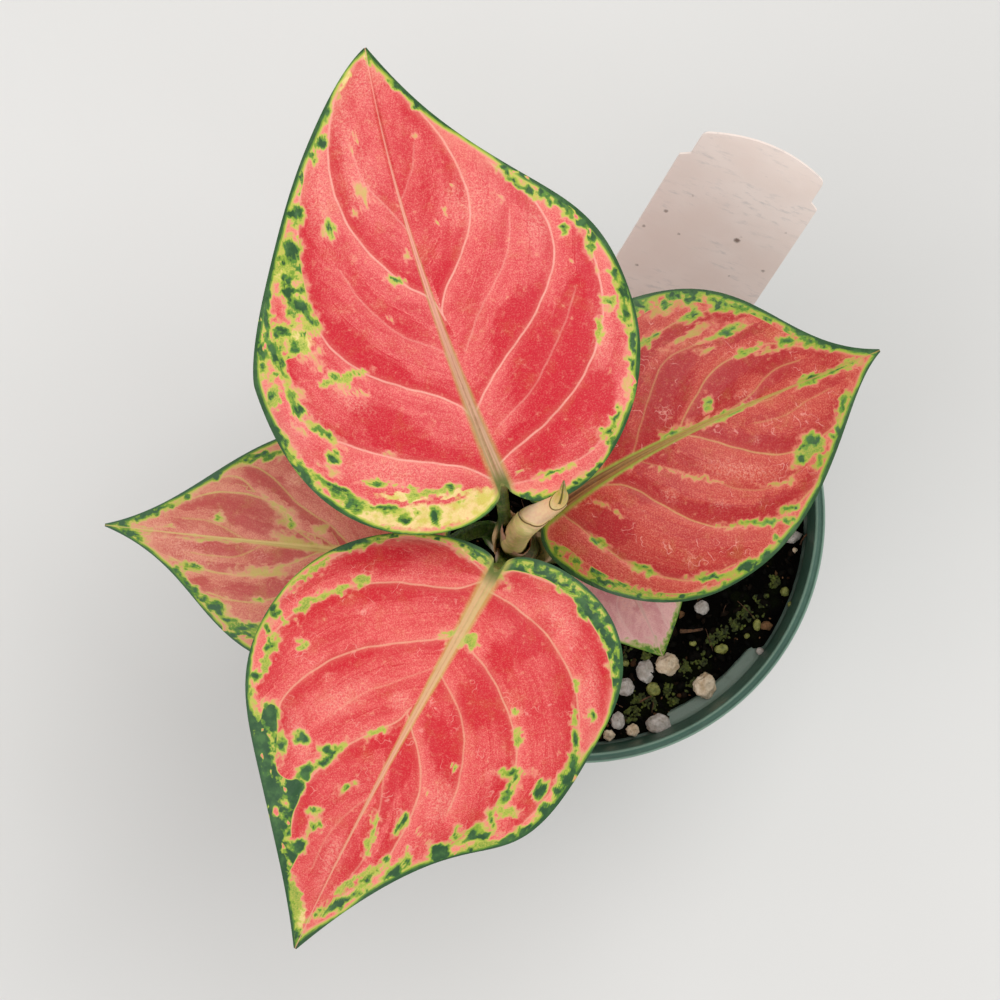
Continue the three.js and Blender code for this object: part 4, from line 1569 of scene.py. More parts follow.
                (418, 832, 4, 7, 20), (429, 843, 13, 8, 20), (368, 850, 5, 14, -15), (375, 830, 2, 14, -10),
                (344, 886, 9, 6, 20), (302, 905, 8, 20, 0), (513, 714, 8, 8, 0), (517, 736, 6, 7, 0),
                (504, 806, 12, 8, 20), (517, 811, 14, 8, -15), (488, 812, 8, 14, 20), (473, 842, 20, 16, 30),
                (541, 790, 15, 19, -25), (533, 797, 6, 8, 0), (581, 757, 13, 8, 20), (575, 686, 7, 10, 0),
                (577, 723, 6, 14, 0), (592, 714, 11, 12, 0), (610, 668, 10, 14, 30), (577, 584, 10, 12, 0),
                (582, 597, 9, 8, 0), (597, 613, 12, 12, 0), (612, 635, 6, 7, 0), (550, 566, 20, 9, -25),
                (462, 638, 11, 18, 0), (443, 638, 9, 10, 0), (355, 543, 42, 12, 14), (460, 550, 34, 8, -40),
                (380, 735, 16, 4, 30), (262, 705, 8, 18, 0), (566, 780, 20, 30, -40), (281, 745, 9, 20, 0),
            ),
            Mark.CREAM: (
                (300, 920, 7, 26, -12), (525, 564, 34, 6, -3), (505, 563, 12, 8, 0), (470, 553, 24, 5, -40),
            ),
            Mark.PALE: (
                (400, 700, 20, 20, 0), (365, 610, 20, 6, 10), (328, 677, 14, 6, 20), (300, 740, 20, 80, 20),
                (330, 860, 20, 60, -20), (340, 700, 70, 30, 30), (560, 620, 30, 50, 30),
                (440, 800, 30, 50, -20), (590, 690, 20, 60, 0), (487, 775, 10, 6, 40),
            ),
            Mark.DEEP: (
                (378, 558, 60, 26, -5), (385, 592, 60, 16, -5), (350, 655, 60, 14, 22),
                (440, 745, 24, 70, 20), (390, 790, 14, 70, -20), (405, 755, 12, 60, -10),
                (480, 700, 40, 60, -30), (530, 640, 30, 60, -50), (372, 835, 10, 80, -28),
                (500, 660, 30, 30, 0),
            ),
        },
        bounds=(
            (0.5, ((640, 716), (617, 706), (611, 668), (604, 645), (592, 623), (580, 606), (565, 591),
                   (546, 579), (528, 573), (513, 570), (504, 571), (499, 564), (497, 553))),
            (0.42, ((497, 553), (495, 565), (487, 567), (475, 559), (462, 550), (444, 542), (420, 537),
                    (398, 537), (366, 543), (346, 551), (330, 550), (318, 540))),
            (0.57, ((236, 716), (258, 722), (264, 708), (275, 705), (277, 730), (276, 768), (288, 780),
                    (299, 779), (300, 796), (292, 816), (291, 838), (299, 850), (292, 866), (282, 882),
                    (262, 890))),
        ),
    ),
    Blade(
        number=3,
        slot="blade",
        finish=MATURE,
        junction=(-6.5, 1.3, 134),
        heading=26,
        length=77.4,
        drop=22,
        arch=16,
        fold=0.16,
        roll=0.24,
        bow=(5.0, 1.2),
        left=Side(back=-9, out=10, run=2, widest=21.5, half=33, shoulder=63.5, point=53, slope=11),
        right=Side(back=-12, out=5, run=5, widest=24.5, half=30, shoulder=52.5, point=62.5, slope=6),
        wave=(1.1, 3, 4.0),
        line=(0.5, 1.3),
        band=(0.6, 2.2),
        veins=(
            (0.8, ((598, 482), (612, 430), (628, 380), (641, 345), (656, 334), (684, 318), (712, 310),
                   (740, 306))),
            (0.6, ((632, 457), (645, 410), (664, 362), (692, 346), (725, 333), (752, 324))),
            (1.0, ((679, 432), (684, 417), (696, 397), (707, 378), (721, 364), (744, 353), (768, 344),
                   (803, 346), (849, 350))),
            (0.7, ((724, 413), (746, 399), (764, 379), (778, 368), (800, 360))),
            (0.5, ((742, 406), (768, 400), (790, 386))),
            (0.9, ((560, 512), (577, 525), (594, 539), (622, 559), (650, 573), (681, 580), (706, 577),
                   (735, 565))),
            (1.0, ((600, 485), (628, 486), (664, 506), (692, 520), (720, 527), (748, 525), (774, 519),
                   (795, 507), (820, 480))),
            (0.45, ((642, 462), (678, 471), (699, 479), (720, 483), (745, 490), (775, 486), (800, 470))),
            (1.0, ((690, 436), (705, 439), (730, 446), (769, 454), (798, 450), (830, 430), (850, 405))),
            (0.45, ((755, 423), (783, 416), (807, 401), (830, 388))),
        ),
        spots={
            Mark.GREEN: (
                (692, 291, 20, 7, 0), (690, 299, 6, 9, 0), (718, 306, 11, 7, 10), (737, 308, 16, 4, -5),
                (724, 299, 6, 7, 0), (745, 297, 50, 8, -18), (775, 314, 40, 6, -32), (695, 313, 8, 6, 30),
                (689, 318, 9, 4, 10), (673, 295, 6, 4, 0), (665, 305, 5, 5, 0), (657, 334, 6, 4, 45),
                (647, 341, 8, 3, 40), (726, 332, 18, 4, 26), (743, 353, 8, 5, 25), (708, 404, 3, 6, 0),
                (673, 433, 10, 3, 30), (730, 413, 12, 2, 25), (811, 379, 13, 4, 20), (838, 369, 16, 2, 26),
                (787, 342, 10, 5, 0), (803, 332, 24, 9, -28), (826, 343, 40, 7, -8), (813, 440, 13, 8, 0),
                (803, 448, 12, 6, 30), (801, 459, 9, 7, 0), (838, 432, 7, 14, -20), (820, 461, 9, 4, 45),
                (843, 405, 4, 14, -25), (768, 522, 9, 4, 10), (753, 523, 12, 3, 5), (792, 508, 10, 4, 22),
                (598, 542, 9, 4, -30), (643, 569, 8, 2, -20), (712, 577, 20, 4, 5), (604, 583, 28, 5, -14),
                (746, 567, 18, 7, 35), (706, 596, 26, 6, 8), (727, 588, 18, 6, 22), (764, 559, 30, 6, 38),
                (783, 545, 10, 8, 40), (776, 537, 5, 5, 0), (788, 520, 6, 4, 0), (611, 474, 14, 2, 25),
                (800, 530, 8, 30, -30), (820, 495, 6, 40, -22),
            ),
            Mark.FRESH: (
                (764, 521, 34, 3, 6), (812, 446, 26, 18, 20), (834, 371, 26, 3, 24), (724, 588, 40, 4, 18),
                (764, 558, 26, 5, 38), (640, 592, 30, 3, -8), (747, 351, 14, 3, 20),
            ),
            Mark.GAP: ((795, 338, 8, 4, -20), (705, 300, 8, 4, 0), (750, 560, 8, 4, 30)),
            Mark.LIME: (
                (711, 297, 30, 9, 0), (676, 293, 24, 8, 12), (646, 342, 14, 6, 40), (660, 308, 26, 12, 10),
                (698, 346, 26, 5, 28), (726, 333, 24, 7, 26), (706, 350, 26, 5, 24), (752, 350, 30, 5, 18),
                (740, 352, 16, 7, 30), (708, 408, 8, 14, 0), (673, 433, 26, 6, 30), (730, 412, 34, 4, 24),
                (690, 424, 12, 12, 50), (830, 372, 44, 6, 24), (803, 343, 22, 8, -5),
                (811, 444, 30, 26, 20), (843, 412, 11, 30, -24), (834, 445, 12, 26, -25),
                (792, 466, 8, 10, 0), (784, 483, 24, 7, 25), (730, 529, 20, 4, 0), (760, 521, 34, 6, 8),
                (643, 569, 22, 5, -20), (727, 586, 50, 10, 20), (764, 557, 36, 10, 38),
                (784, 540, 18, 9, 45), (702, 592, 14, 10, 0), (612, 476, 26, 8, 25), (600, 503, 16, 7, -25),
                (600, 578, 26, 10, -20), (640, 592, 40, 6, -8), (700, 326, 30, 5, 24), (775, 484, 30, 6, 5),
                (643, 569, 20, 5, -20), (616, 512, 26, 5, -32), (860, 362, 20, 14, 20),
                (670, 308, 60, 12, 22), (690, 336, 70, 8, 28), (700, 478, 60, 5, -10),
                (664, 470, 40, 4, -14), (712, 420, 60, 5, 25), (770, 350, 44, 5, 14),
            ),
            Mark.PALE: (
                (745, 395, 20, 14, 0), (755, 440, 12, 5, 0), (710, 400, 8, 12, 0), (665, 412, 14, 16, 0),
                (690, 560, 10, 20, 0), (720, 505, 20, 12, 0), (670, 495, 16, 14, 0), (740, 470, 80, 20, -8),
            ),
            Mark.DEEP: (
                (665, 400, 46, 90, -20), (640, 450, 50, 40, 0), (715, 390, 30, 60, -30),
                (735, 408, 50, 16, 30), (720, 512, 70, 16, -10), (770, 505, 50, 16, 25),
                (640, 490, 50, 18, -30), (765, 445, 60, 16, 0), (770, 365, 50, 16, 10),
                (615, 525, 40, 24, -35),
            ),
        },
        bounds=(
            (0.42, ((548, 540), (566, 548), (590, 566), (622, 583), (650, 592), (681, 594), (706, 590),
                    (740, 576), (766, 556), (800, 552))),
            (0.45, ((880, 358), (860, 352), (820, 348), (790, 334), (760, 318), (735, 308), (700, 302),
                    (676, 299), (656, 306), (636, 318))),
        ),
    ),
    Blade(
        number=4,
        slot="blade",
        finish=SALMON,
        junction=(-31.4, -8.9, 120),
        heading=174.3,
        length=71.6,
        drop=26,
        arch=12,
        fold=0.1,
        roll=0.26,
        bow=(0, 0),
        left=Side(back=-8, out=10, run=4, widest=23, half=26, shoulder=47, point=47.5, slope=6.5),
        right=Side(back=-8, out=10, run=4, widest=21.5, half=25.5, shoulder=41, point=50, slope=6.5),
        wave=(1.0, 3, 1.0),
        line=(0.4, 1.0),
        band=(0.8, 2.6),
        columns=70,
        rows=140,
        veins=(
            (1.0, ((322, 549), (307, 538), (289, 524), (279, 510), (258, 497), (231, 492), (206, 494),
                   (188, 500))),
            (0.8, ((334, 546), (322, 538), (298, 529), (286, 517), (265, 502), (240, 478), (215, 478))),
            (0.8, ((352, 548), (340, 535), (330, 525), (300, 505), (270, 475), (250, 465))),
            (1.0, ((324, 550), (307, 557), (275, 569), (248, 576), (220, 573), (192, 567), (168, 556))),
            (0.8, ((340, 556), (322, 570), (290, 592), (258, 602), (230, 600), (206, 592))),
            (0.5, ((250, 543), (225, 528), (205, 520), (182, 518))),
            (0.5, ((262, 545), (238, 556), (214, 556), (190, 552))),
        ),
        spots={
            Mark.GREEN: (
                (216, 474, 10, 8, 20), (185, 496, 8, 5, 30), (263, 456, 40, 3, 8), (246, 459, 9, 5, 20),
                (122, 524, 12, 10, 0), (131, 533, 20, 5, -28), (150, 512, 40, 6, 18),
                (192, 567, 10, 4, -10), (204, 601, 18, 6, -38), (215, 607, 16, 8, -25),
                (229, 620, 9, 5, -20), (244, 627, 18, 5, -10), (234, 635, 10, 8, 0), (253, 627, 9, 3, 0),
                (176, 572, 8, 4, -40), (190, 588, 26, 4, -42), (292, 523, 5, 8, 20), (218, 517, 3, 4, 0),
                (250, 634, 20, 6, 0), (258, 600, 4, 3, 0), (222, 618, 20, 3, -45),
            ),
            Mark.GAP: ((223, 627, 9, 6, 0), (240, 638, 12, 4, 0)),
            Mark.LIME: (
                (189, 494, 30, 9, 18), (240, 464, 30, 10, 20), (220, 517, 12, 9, 0), (167, 526, 20, 8, 0),
                (286, 517, 22, 22, 0), (292, 540, 50, 12, -20), (312, 545, 20, 14, 0),
                (171, 558, 12, 4, -20), (226, 611, 20, 10, -25), (210, 604, 24, 12, -35),
                (244, 627, 30, 10, -10), (259, 601, 9, 7, 0), (285, 580, 12, 6, 30), (228, 596, 6, 8, 0),
                (147, 530, 20, 6, 0), (130, 522, 14, 10, 0), (289, 525, 10, 10, 0), (220, 540, 120, 5, -4),
                (275, 505, 50, 8, -40), (286, 565, 60, 6, 20), (262, 572, 70, 12, 0), (320, 530, 20, 14, 0),
                (330, 556, 14, 12, 0),
            ),
            Mark.PALE: (
                (230, 575, 6, 4, 0), (241, 589, 3, 3, 0), (150, 537, 12, 8, 0), (295, 480, 20, 14, 0),
                (185, 545, 60, 40, 0), (262, 555, 20, 10, 0), (200, 560, 60, 20, 0), (150, 530, 70, 30, 0),
            ),
            Mark.DEEP: (
                (265, 480, 50, 16, -20), (225, 505, 60, 14, -15), (245, 522, 60, 14, -20),
                (270, 555, 40, 10, 0), (215, 548, 60, 10, -5), (200, 580, 20, 10, 0),
                (280, 580, 40, 14, 20), (250, 590, 50, 10, -10),
            ),
        },
    ),
    Blade(
        number=5,
        slot="old_blade",
        finish=FADED,
        junction=(6.6, -5.6, 101),
        heading=-64.6,
        length=27.6,
        drop=17,
        arch=5,
        fold=0.1,
        roll=0.2,
        bow=(0, 0),
        left=Side(back=-4, out=5, run=1, widest=10, half=11.4, shoulder=17, point=20.5, slope=6.5),
        right=Side(back=-4, out=5, run=1, widest=10, half=12.8, shoulder=17, point=21, slope=6.5),
        wave=(0.5, 2, 0.4),
        line=(0.12, 0.3),
        band=(0.1, 0.6),
        columns=48,
        rows=90,
        veins=(
            (0.5, ((606, 560), (622, 556), (645, 560), (664, 580))),
            (0.5, ((616, 580), (636, 584), (655, 600), (668, 626))),
            (0.4, ((606, 560), (590, 570), (592, 600), (612, 630))),
            (0.4, ((620, 590), (618, 610), (632, 636), (650, 650))),
        ),
        spots={
            Mark.GREEN: ((673, 628, 3, 24, -12), (668, 646, 6, 8, -30), (650, 650, 16, 2, -18),
                         (657, 648, 4, 5, 0)),
            Mark.LIME: ((664, 645, 12, 8, 30), (655, 640, 20, 8, -40)),
            Mark.PALE: ((625, 600, 16, 30, 20), (644, 615, 20, 14, 0), (650, 590, 14, 18, 0)),
            Mark.DEEP: ((610, 590, 14, 30, 20), (636, 600, 8, 24, 20)),
        },
    ),
)


# ---------------------------------------------------------------- stalks


@dataclass
class Stalk:
    """A leaf stalk: a broad sheath that clasps the younger parts, then a grooved neck."""

    number: int
    heading: float
    path: Sequence[Point]
    foot: Pixel  # half width and half depth of the sheath
    neck: Pixel  # half width and half depth of the neck
    colour: Colour
    shade: Colour
    wing: Colour  # of the sheath's thin rims
    flush: Colour = (150, 84, 66)  # at the foot
    pale: Colour = (150, 142, 84)  # where the blade starts
    sheath: Pixel = (0.12, 0.62)  # shares of the length between which the sheath narrows
    steps: int = 61
    sides: int = 44

    def _section(self, along: float, turn: float) -> Pixel:
        """Sideways and facing offsets of the stalk's skin.

        Args:
            along: share of the length.
            turn: share of the turn.

        Returns:
            The two offsets.
        """
        clasp = 1 - smooth(along, *self.sheath)
        wide = blend(self.neck[0], self.foot[0], clasp)
        deep = blend(self.neck[1], self.foot[1], clasp)
        sine, cosine = math.sin(TURN * turn), math.cos(TURN * turn)
        if cosine < 0:
            hollow = 0.3 + 0.75 * clasp
            cosine *= 1 - hollow * math.sqrt(-cosine)
        ribs = 0.035 * math.cos(22 * math.pi * turn)
        curl = clasp * 0.75 * abs(sine) ** 3
        return wide * sine * (1 + ribs), deep * (cosine * (1 + ribs) - curl)

    def _skin(self) -> bpy.types.Material:
        """Waxy olive green with fine stripes, paler along the wings.

        Returns:
            The material.
        """
        w = Wiring(f"stalk_{self.number}")
        place = w.place()
        stripes = w.noise(w.place((2.2, 2.2, 0.09)), 1.0, 3)
        base = w.mix(stripes.edge(0.3, 0.7), self.shade, self.colour)
        blotch = w.noise(place, 0.35, 3).edge(0.5, 0.8)
        base = w.mix(blotch * 0.14, base, self.wing)
        base = w.mix(w.attribute("wing").edge(0.06, 0.45), base, self.wing)
        foot = w.attribute("along").edge(0.35, 0.0)
        base = w.mix(foot * stripes.edge(0.45, 0.7) * 0.4, base, self.flush)
        base = w.mix(w.attribute("along").edge(0.9, 1.0) * 0.7, base, self.pale)
        relief = stripes * 1.2 + w.noise(place, 1.6, 2) * 0.4
        return w.finish(base, stripes * 0.15 + 0.34, w.bump(relief, 0.16), Specular_IOR_Level=0.2)

    def build(self, workshop: Workshop) -> None:
        """Builds and dresses the stalk.

        Args:
            workshop: makes the pieces.
        """
        heading = math.radians(self.heading)
        facing = Vector((math.cos(heading), math.sin(heading), 0))
        shape = swept(smooth_line(self.path, self.steps), facing, self.sides, self._section)
        along, turn = shape.verts.layers.float["along"], shape.verts.layers.float["turn"]

        def wing(vert: bmesh.types.BMVert) -> float:
            """How near to the rim of the sheath's wing a vertex lies."""
            clasp = 1 - float(smooth(vert[along], *self.sheath))
            return abs(math.sin(TURN * vert[turn])) ** 6 * clasp

        set_layer(shape, "wing", wing)
        nodes = [f"petiole_{self.number}"]
        workshop.piece(f"leaf_stalk_{self.number}", shape, "petiole", nodes, [self._skin()])


@dataclass
class Cane:
    """The short upright cane, ringed where older leaves have dropped."""

    path: Sequence[Point] = ((-10.5, -4.6, 47), (-10.8, -4.7, 70), (-12.6, -5.4, 92), (-14, -5.9, 111.5))
    foot_radius: float = 5.6
    top_radius: float = 4.3
    rings: int = 6  # scars of dropped leaves
    ring_height: float = 0.35  # how much the cane swells between two scars
    dark: Colour = (74, 82, 34)
    light: Colour = (104, 108, 52)
    bark: Colour = (126, 104, 66)

    def _section(self, along: float, turn: float) -> Pixel:
        """Offsets of the cane's skin: a low swelling and a sharp scar at each ring.

        Args:
            along: share of the length.
            turn: share of the turn.

        Returns:
            The two offsets.
        """
        radius = blend(self.foot_radius, self.top_radius, along)
        slope = 0.012 * math.sin(TURN * turn)
        phase = (self.rings * (along + slope)) % 1.0 - 0.5
        radius += self.ring_height * math.cos(math.pi * phase) ** 2
        radius -= 0.3 * math.exp(-((phase / 0.035) ** 2))
        return on_circle(radius, turn)

    def build(self, workshop: Workshop) -> None:
        """Builds and dresses the cane.

        Args:
            workshop: makes the pieces.
        """
        shape = swept(smooth_line(self.path, 161), Vector((1, 0, 0)), 64, self._section)
        w = Wiring("cane")
        stripes = w.noise(w.place((1.6, 1.6, 0.12)), 1.0, 3)
        base = w.mix(stripes.edge(0.3, 0.7), self.dark, self.light)
        base = w.mix(w.noise(w.place(), 0.4, 4).edge(0.5, 0.7), base, self.bark)
        skin = w.finish(base, 0.5, w.bump(stripes, 0.15))
        workshop.piece("cane", shape, "cane", ["stem"], [skin])


@dataclass
class RolledLeaf:
    """The youngest leaf, still rolled up: each turn ends in a slanting mouth."""

    path: Sequence[Point] = (
        (-14.2, -5.8, 111), (-14.1, -4.4, 124), (-12.4, -1.6, 140), (-9.4, 1.0, 157),
        (-6.3, 3.0, 171), (-5.3, 4.4, 178), (-5.0, 7.2, 187),
    )
    core: float = 1.95  # radius of the innermost turn
    tip_core: float = 1.12  # the same near the tip
    inner_step: float = 0.36  # how much the inner turn adds to the radius
    outer_step: float = 0.45  # how much the outer turn adds to the radius
    inner_end: float = 0.84  # share of the length at which the inner turn ends
    outer_end: float = 0.58  # share of the length at which the outer turn ends
    slant: float = 0.04  # how far the inner mouth rises and falls, as a share of the length
    # How far the outer turn's margin climbs as it goes round: (share of the turn, share of the length).
    climb: Sequence[Pixel] = (
        (0.35, -0.13), (0.5, -0.06), (0.65, 0.0), (0.8, 0.01), (0.86, 0.06), (0.9, 0.14), (0.94, 0.24),
        (1.1, 0.1), (1.2, 0.0), (1.35, -0.13),
    )
    span: float = 78.0  # millimetres from foot to tip
    seam_turn: float = 0.72  # where the tip's sheets overlap
    steps: int = 401
    sides: int = 120
    # Colours from foot to tip, by the share of the length.
    shades: Sequence[tuple[float, Colour]] = (
        (0.0, (170, 156, 80)), (0.2, (246, 222, 146)), (0.42, (244, 220, 144)), (0.6, (250, 222, 180)),
        (0.78, (246, 216, 166)), (0.86, (216, 196, 108)), (0.93, (178, 174, 70)), (1.0, (84, 104, 24)),
    )
    low_green: Colour = (190, 186, 88)
    blush: Colour = (238, 176, 152)
    seam_line: Colour = (74, 92, 28)
    lip_edge: Colour = (190, 166, 84)
    lip_line: Colour = (96, 74, 10)

    def _mouths(self, along: float, turn: float) -> Pixel:
        """How far past the outer and the inner turn's mouth a point lies, as shares of the length.

        Args:
            along: share of the length.
            turn: share of the turn.

        Returns:
            The two distances, negative below the mouths.
        """
        turns, rises = zip(*self.climb)
        rise = float(np.interp((turn - 0.35) % 1.0 + 0.35, turns, rises))
        tilt = self.slant * math.cos(TURN * turn - 0.9)
        return along - self.outer_end - rise, along - self.inner_end - tilt

    def _section(self, along: float, turn: float) -> Pixel:
        """Offsets of the roll's skin.

        Args:
            along: share of the length.
            turn: share of the turn.

        Returns:
            The two offsets.
        """
        taper = max(0.0, (along - self.inner_end) / (1.02 - self.inner_end))
        radius = blend(self.core, self.tip_core, float(smooth(along, 0.45, 0.88))) * (1 - taper**1.4)
        outer, inner = self._mouths(along, turn)
        radius += self.outer_step * (1 - smooth(outer, -0.005, 0.005))
        radius += self.inner_step * (1 - smooth(inner, -0.004, 0.004))
        # A lip at the inner mouth, and creases where the tip's sheets overlap.
        radius += 0.12 * math.exp(-((min(inner, 0) / 0.012) ** 2)) * (inner < 0.003)
        if inner > 0:
            radius *= 1 - 0.16 * math.exp(-((self._off_seam(turn) / 0.05) ** 2))
        return on_circle(radius, turn)

    def _off_seam(self, turn: float) -> float:
        """Share of the turn from the seam to a place on the skin, from -0.5 to 0.5."""
        return (turn - self.seam_turn + 0.5) % 1.0 - 0.5

    def _seam(self, along: float, turn: float) -> float:
        """Distance, in millimetres, to the dark line where the tip's sheets overlap.

        Args:
            along: share of the length.
            turn: share of the turn.

        Returns:
            The distance.
        """
        if along < self.inner_end:
            return 9.0
        return abs(self._off_seam(turn)) * TURN * self.tip_core

    def build(self, workshop: Workshop) -> None:
        """Builds and dresses the roll.

        Args:
            workshop: makes the pieces.
        """
        shape = swept(smooth_line(self.path, self.steps), Vector((1, 0, 0)), self.sides, self._section)
        layers = shape.verts.layers.float
        for name in ("lip", "seam", "past"):
            layers.new(name)
        along, turn, lip, seam, past = (layers[name] for name in ("along", "turn", "lip", "seam", "past"))
        for vert in shape.verts:
            mouths = self._mouths(vert[along], vert[turn])
            vert[lip] = min(abs(mouth + 0.004) for mouth in mouths) * self.span
            vert[seam] = self._seam(vert[along], vert[turn])
            vert[past] = mouths[0] * self.span
        w = Wiring("rolled_leaf")
        streaks = w.noise(w.place((1.5, 1.5, 0.12)), 1.0, 3)
        base = w.ramp(w.attribute("along"), self.shades)
        low = w.attribute("past").edge(0.5, -0.5) * w.noise(w.place(), 0.3, 3).edge(0.36, 0.58)
        base = w.mix(low * 0.6, base, self.low_green)
        base = w.mix(streaks.edge(0.4, 0.7) * 0.35, base, self.blush)
        base = w.mix(w.attribute("seam").edge(0.42, 0.15), base, self.seam_line)
        base = w.mix(w.attribute("lip").edge(1.3, 0.3) * 0.45, base, self.lip_edge)
        base = w.mix(w.attribute("lip").edge(0.34, 0.16), base, self.lip_line)
        skin = w.finish(base, 0.42, w.bump(streaks, 0.12), Specular_IOR_Level=0.45)
        workshop.piece("rolled_leaf", shape, "rolled_leaf", ["new_leaf"], [skin])


@dataclass
class CrownSheath:
    """The thin collar of the youngest stalk's sheath, which stands open round the roll's foot."""

    path: Sequence[Point] = ((-13.9, -5.7, 107), (-13.9, -4.8, 118), (-13.6, -2.8, 129), (-12.9, -0.6, 139))
    radius: Pixel = (3.1, 3.75)  # at the foot and at the end of the path
    thickness: float = 0.22
    low: float = 0.36  # share of the path that the collar's lowest side reaches
    high: float = 0.9  # share of the path that its highest side reaches
    high_side: float = 0.46  # of a turn from the x axis
    rows: int = 60
    sides: int = 120
    steps: int = 200  # samples of the path
    dark: Colour = (112, 122, 54)
    light: Colour = (160, 150, 84)
    lining: Colour = (222, 190, 150)
    lip: Colour = (206, 160, 128)

    def _lip(self, turn: float) -> float:
        """Share of the path that the collar reaches on one side, with a ragged edge.

        Args:
            turn: share of the turn.

        Returns:
            The share.
        """
        share = (0.5 + 0.5 * math.cos(TURN * (turn - self.high_side))) ** 1.4
        ragged = 0.02 * math.sin(14 * math.pi * turn) + 0.012 * math.sin(38 * math.pi * turn + 1)
        return blend(self.low, self.high, share) + ragged

    def build(self, workshop: Workshop) -> None:
        """Builds and dresses the collar: up its outside, over the lip and down its inside.

        Args:
            workshop: makes the pieces.
        """
        shape = bmesh.new()
        bmesh.ops.create_grid(shape, x_segments=self.sides, y_segments=self.rows, size=1.0)
        line = smooth_line(self.path, self.steps + 1)
        height = shape.verts.layers.float.new("height")
        inner = shape.verts.layers.float.new("inner")
        for vert in shape.verts:
            turn, row = (vert.co.x + 1) / 2, vert.co.y + 1
            rise = min(row, 2 - row) * self._lip(turn)
            inside = min(1.0, max(0.0, row - 1) * 12, (2 - row) * 12)
            oval = 1 - 0.12 * math.cos(4 * math.pi * (turn - 0.1)) * rise
            radius = blend(*self.radius, rise) * oval
            radius -= self.thickness * inside
            middle = line[min(self.steps, round(self.steps * rise))]
            side = Vector((math.cos(TURN * turn), math.sin(TURN * turn), 0))
            vert.co = Vector(middle) + side * radius
            vert[height], vert[inner] = min(row, 2 - row), inside
        bmesh.ops.remove_doubles(shape, verts=shape.verts, dist=WELD)
        bmesh.ops.recalc_face_normals(shape, faces=shape.faces)
        w = Wiring("crown_sheath")
        stripes = w.noise(w.place((2.0, 2.0, 0.1)), 1.0, 3)
        base = w.mix(stripes.edge(0.3, 0.7), self.dark, self.light)
        base = w.mix(w.attribute("inner") * 0.9, base, self.lining)
        base = w.mix(w.attribute("height").edge(0.5, 0.9), base, self.lip)
        skin = w.finish(base, 0.45, w.bump(stripes, 0.1), Specular_IOR_Level=0.4)
        workshop.piece("crown_sheath", shape, "petiole", ["petiole_1"], [skin])


STALKS = (
    Stalk(
        number=1, heading=107.5, foot=(4.0, 3.0), neck=(1.3, 1.25),
        path=((-14.0, -5.8, 101), (-15.6, -3.4, 114), (-16.2, -0.2, 136), (-16.8, 4.2, 153),
              (-17.0, 7.2, 161.6)),
        colour=(58, 90, 0), shade=(24, 50, 0), wing=(214, 184, 134),
    ),
    Stalk(
        number=2, heading=-117.8, foot=(4.4, 2.8), neck=(1.9, 1.7),
        path=((-13.4, -5.7, 96), (-14.9, -9.4, 109), (-16.3, -10.6, 128), (-17.6, -10.7, 142),
              (-18.6, -11.3, 149.6)),
        colour=(100, 130, 40), shade=(48, 80, 18), wing=(214, 186, 164),
    ),
    Stalk(
        number=3, heading=26, foot=(4.4, 2.7), neck=(1.8, 1.6),
        path=((-12.8, -5.5, 90), (-8.3, -6.2, 101), (-7.4, -5.8, 114), (-7.0, -2.4, 126),
              (-5.7, 1.7, 133.6)),
        colour=(132, 124, 62), shade=(100, 88, 44), wing=(190, 160, 124),
    ),
    Stalk(
        number=4, heading=174.3, foot=(4.3, 2.6), neck=(1.7, 1.5),
        path=((-12.2, -5.3, 84), (-17.6, -4.8, 96), (-20.6, -2.6, 107), (-25.4, -4.2, 116.4),
              (-32.2, -8.8, 119.6)),
        colour=(66, 100, 30), shade=(32, 60, 14), wing=(200, 192, 168),
    ),
    Stalk(
        number=5, heading=-64.6, foot=(4.0, 2.2), neck=(1.4, 1.3),
        path=((-11.7, -5.0, 78), (-6.4, -8.0, 86), (-2.6, -8.6, 94), (2.2, -7.0, 99.6), (6.9, -6.2, 100.6)),
        colour=(90, 96, 44), shade=(60, 66, 26), wing=(160, 148, 128),
    ),
)


# ---------------------------------------------------------------- pot


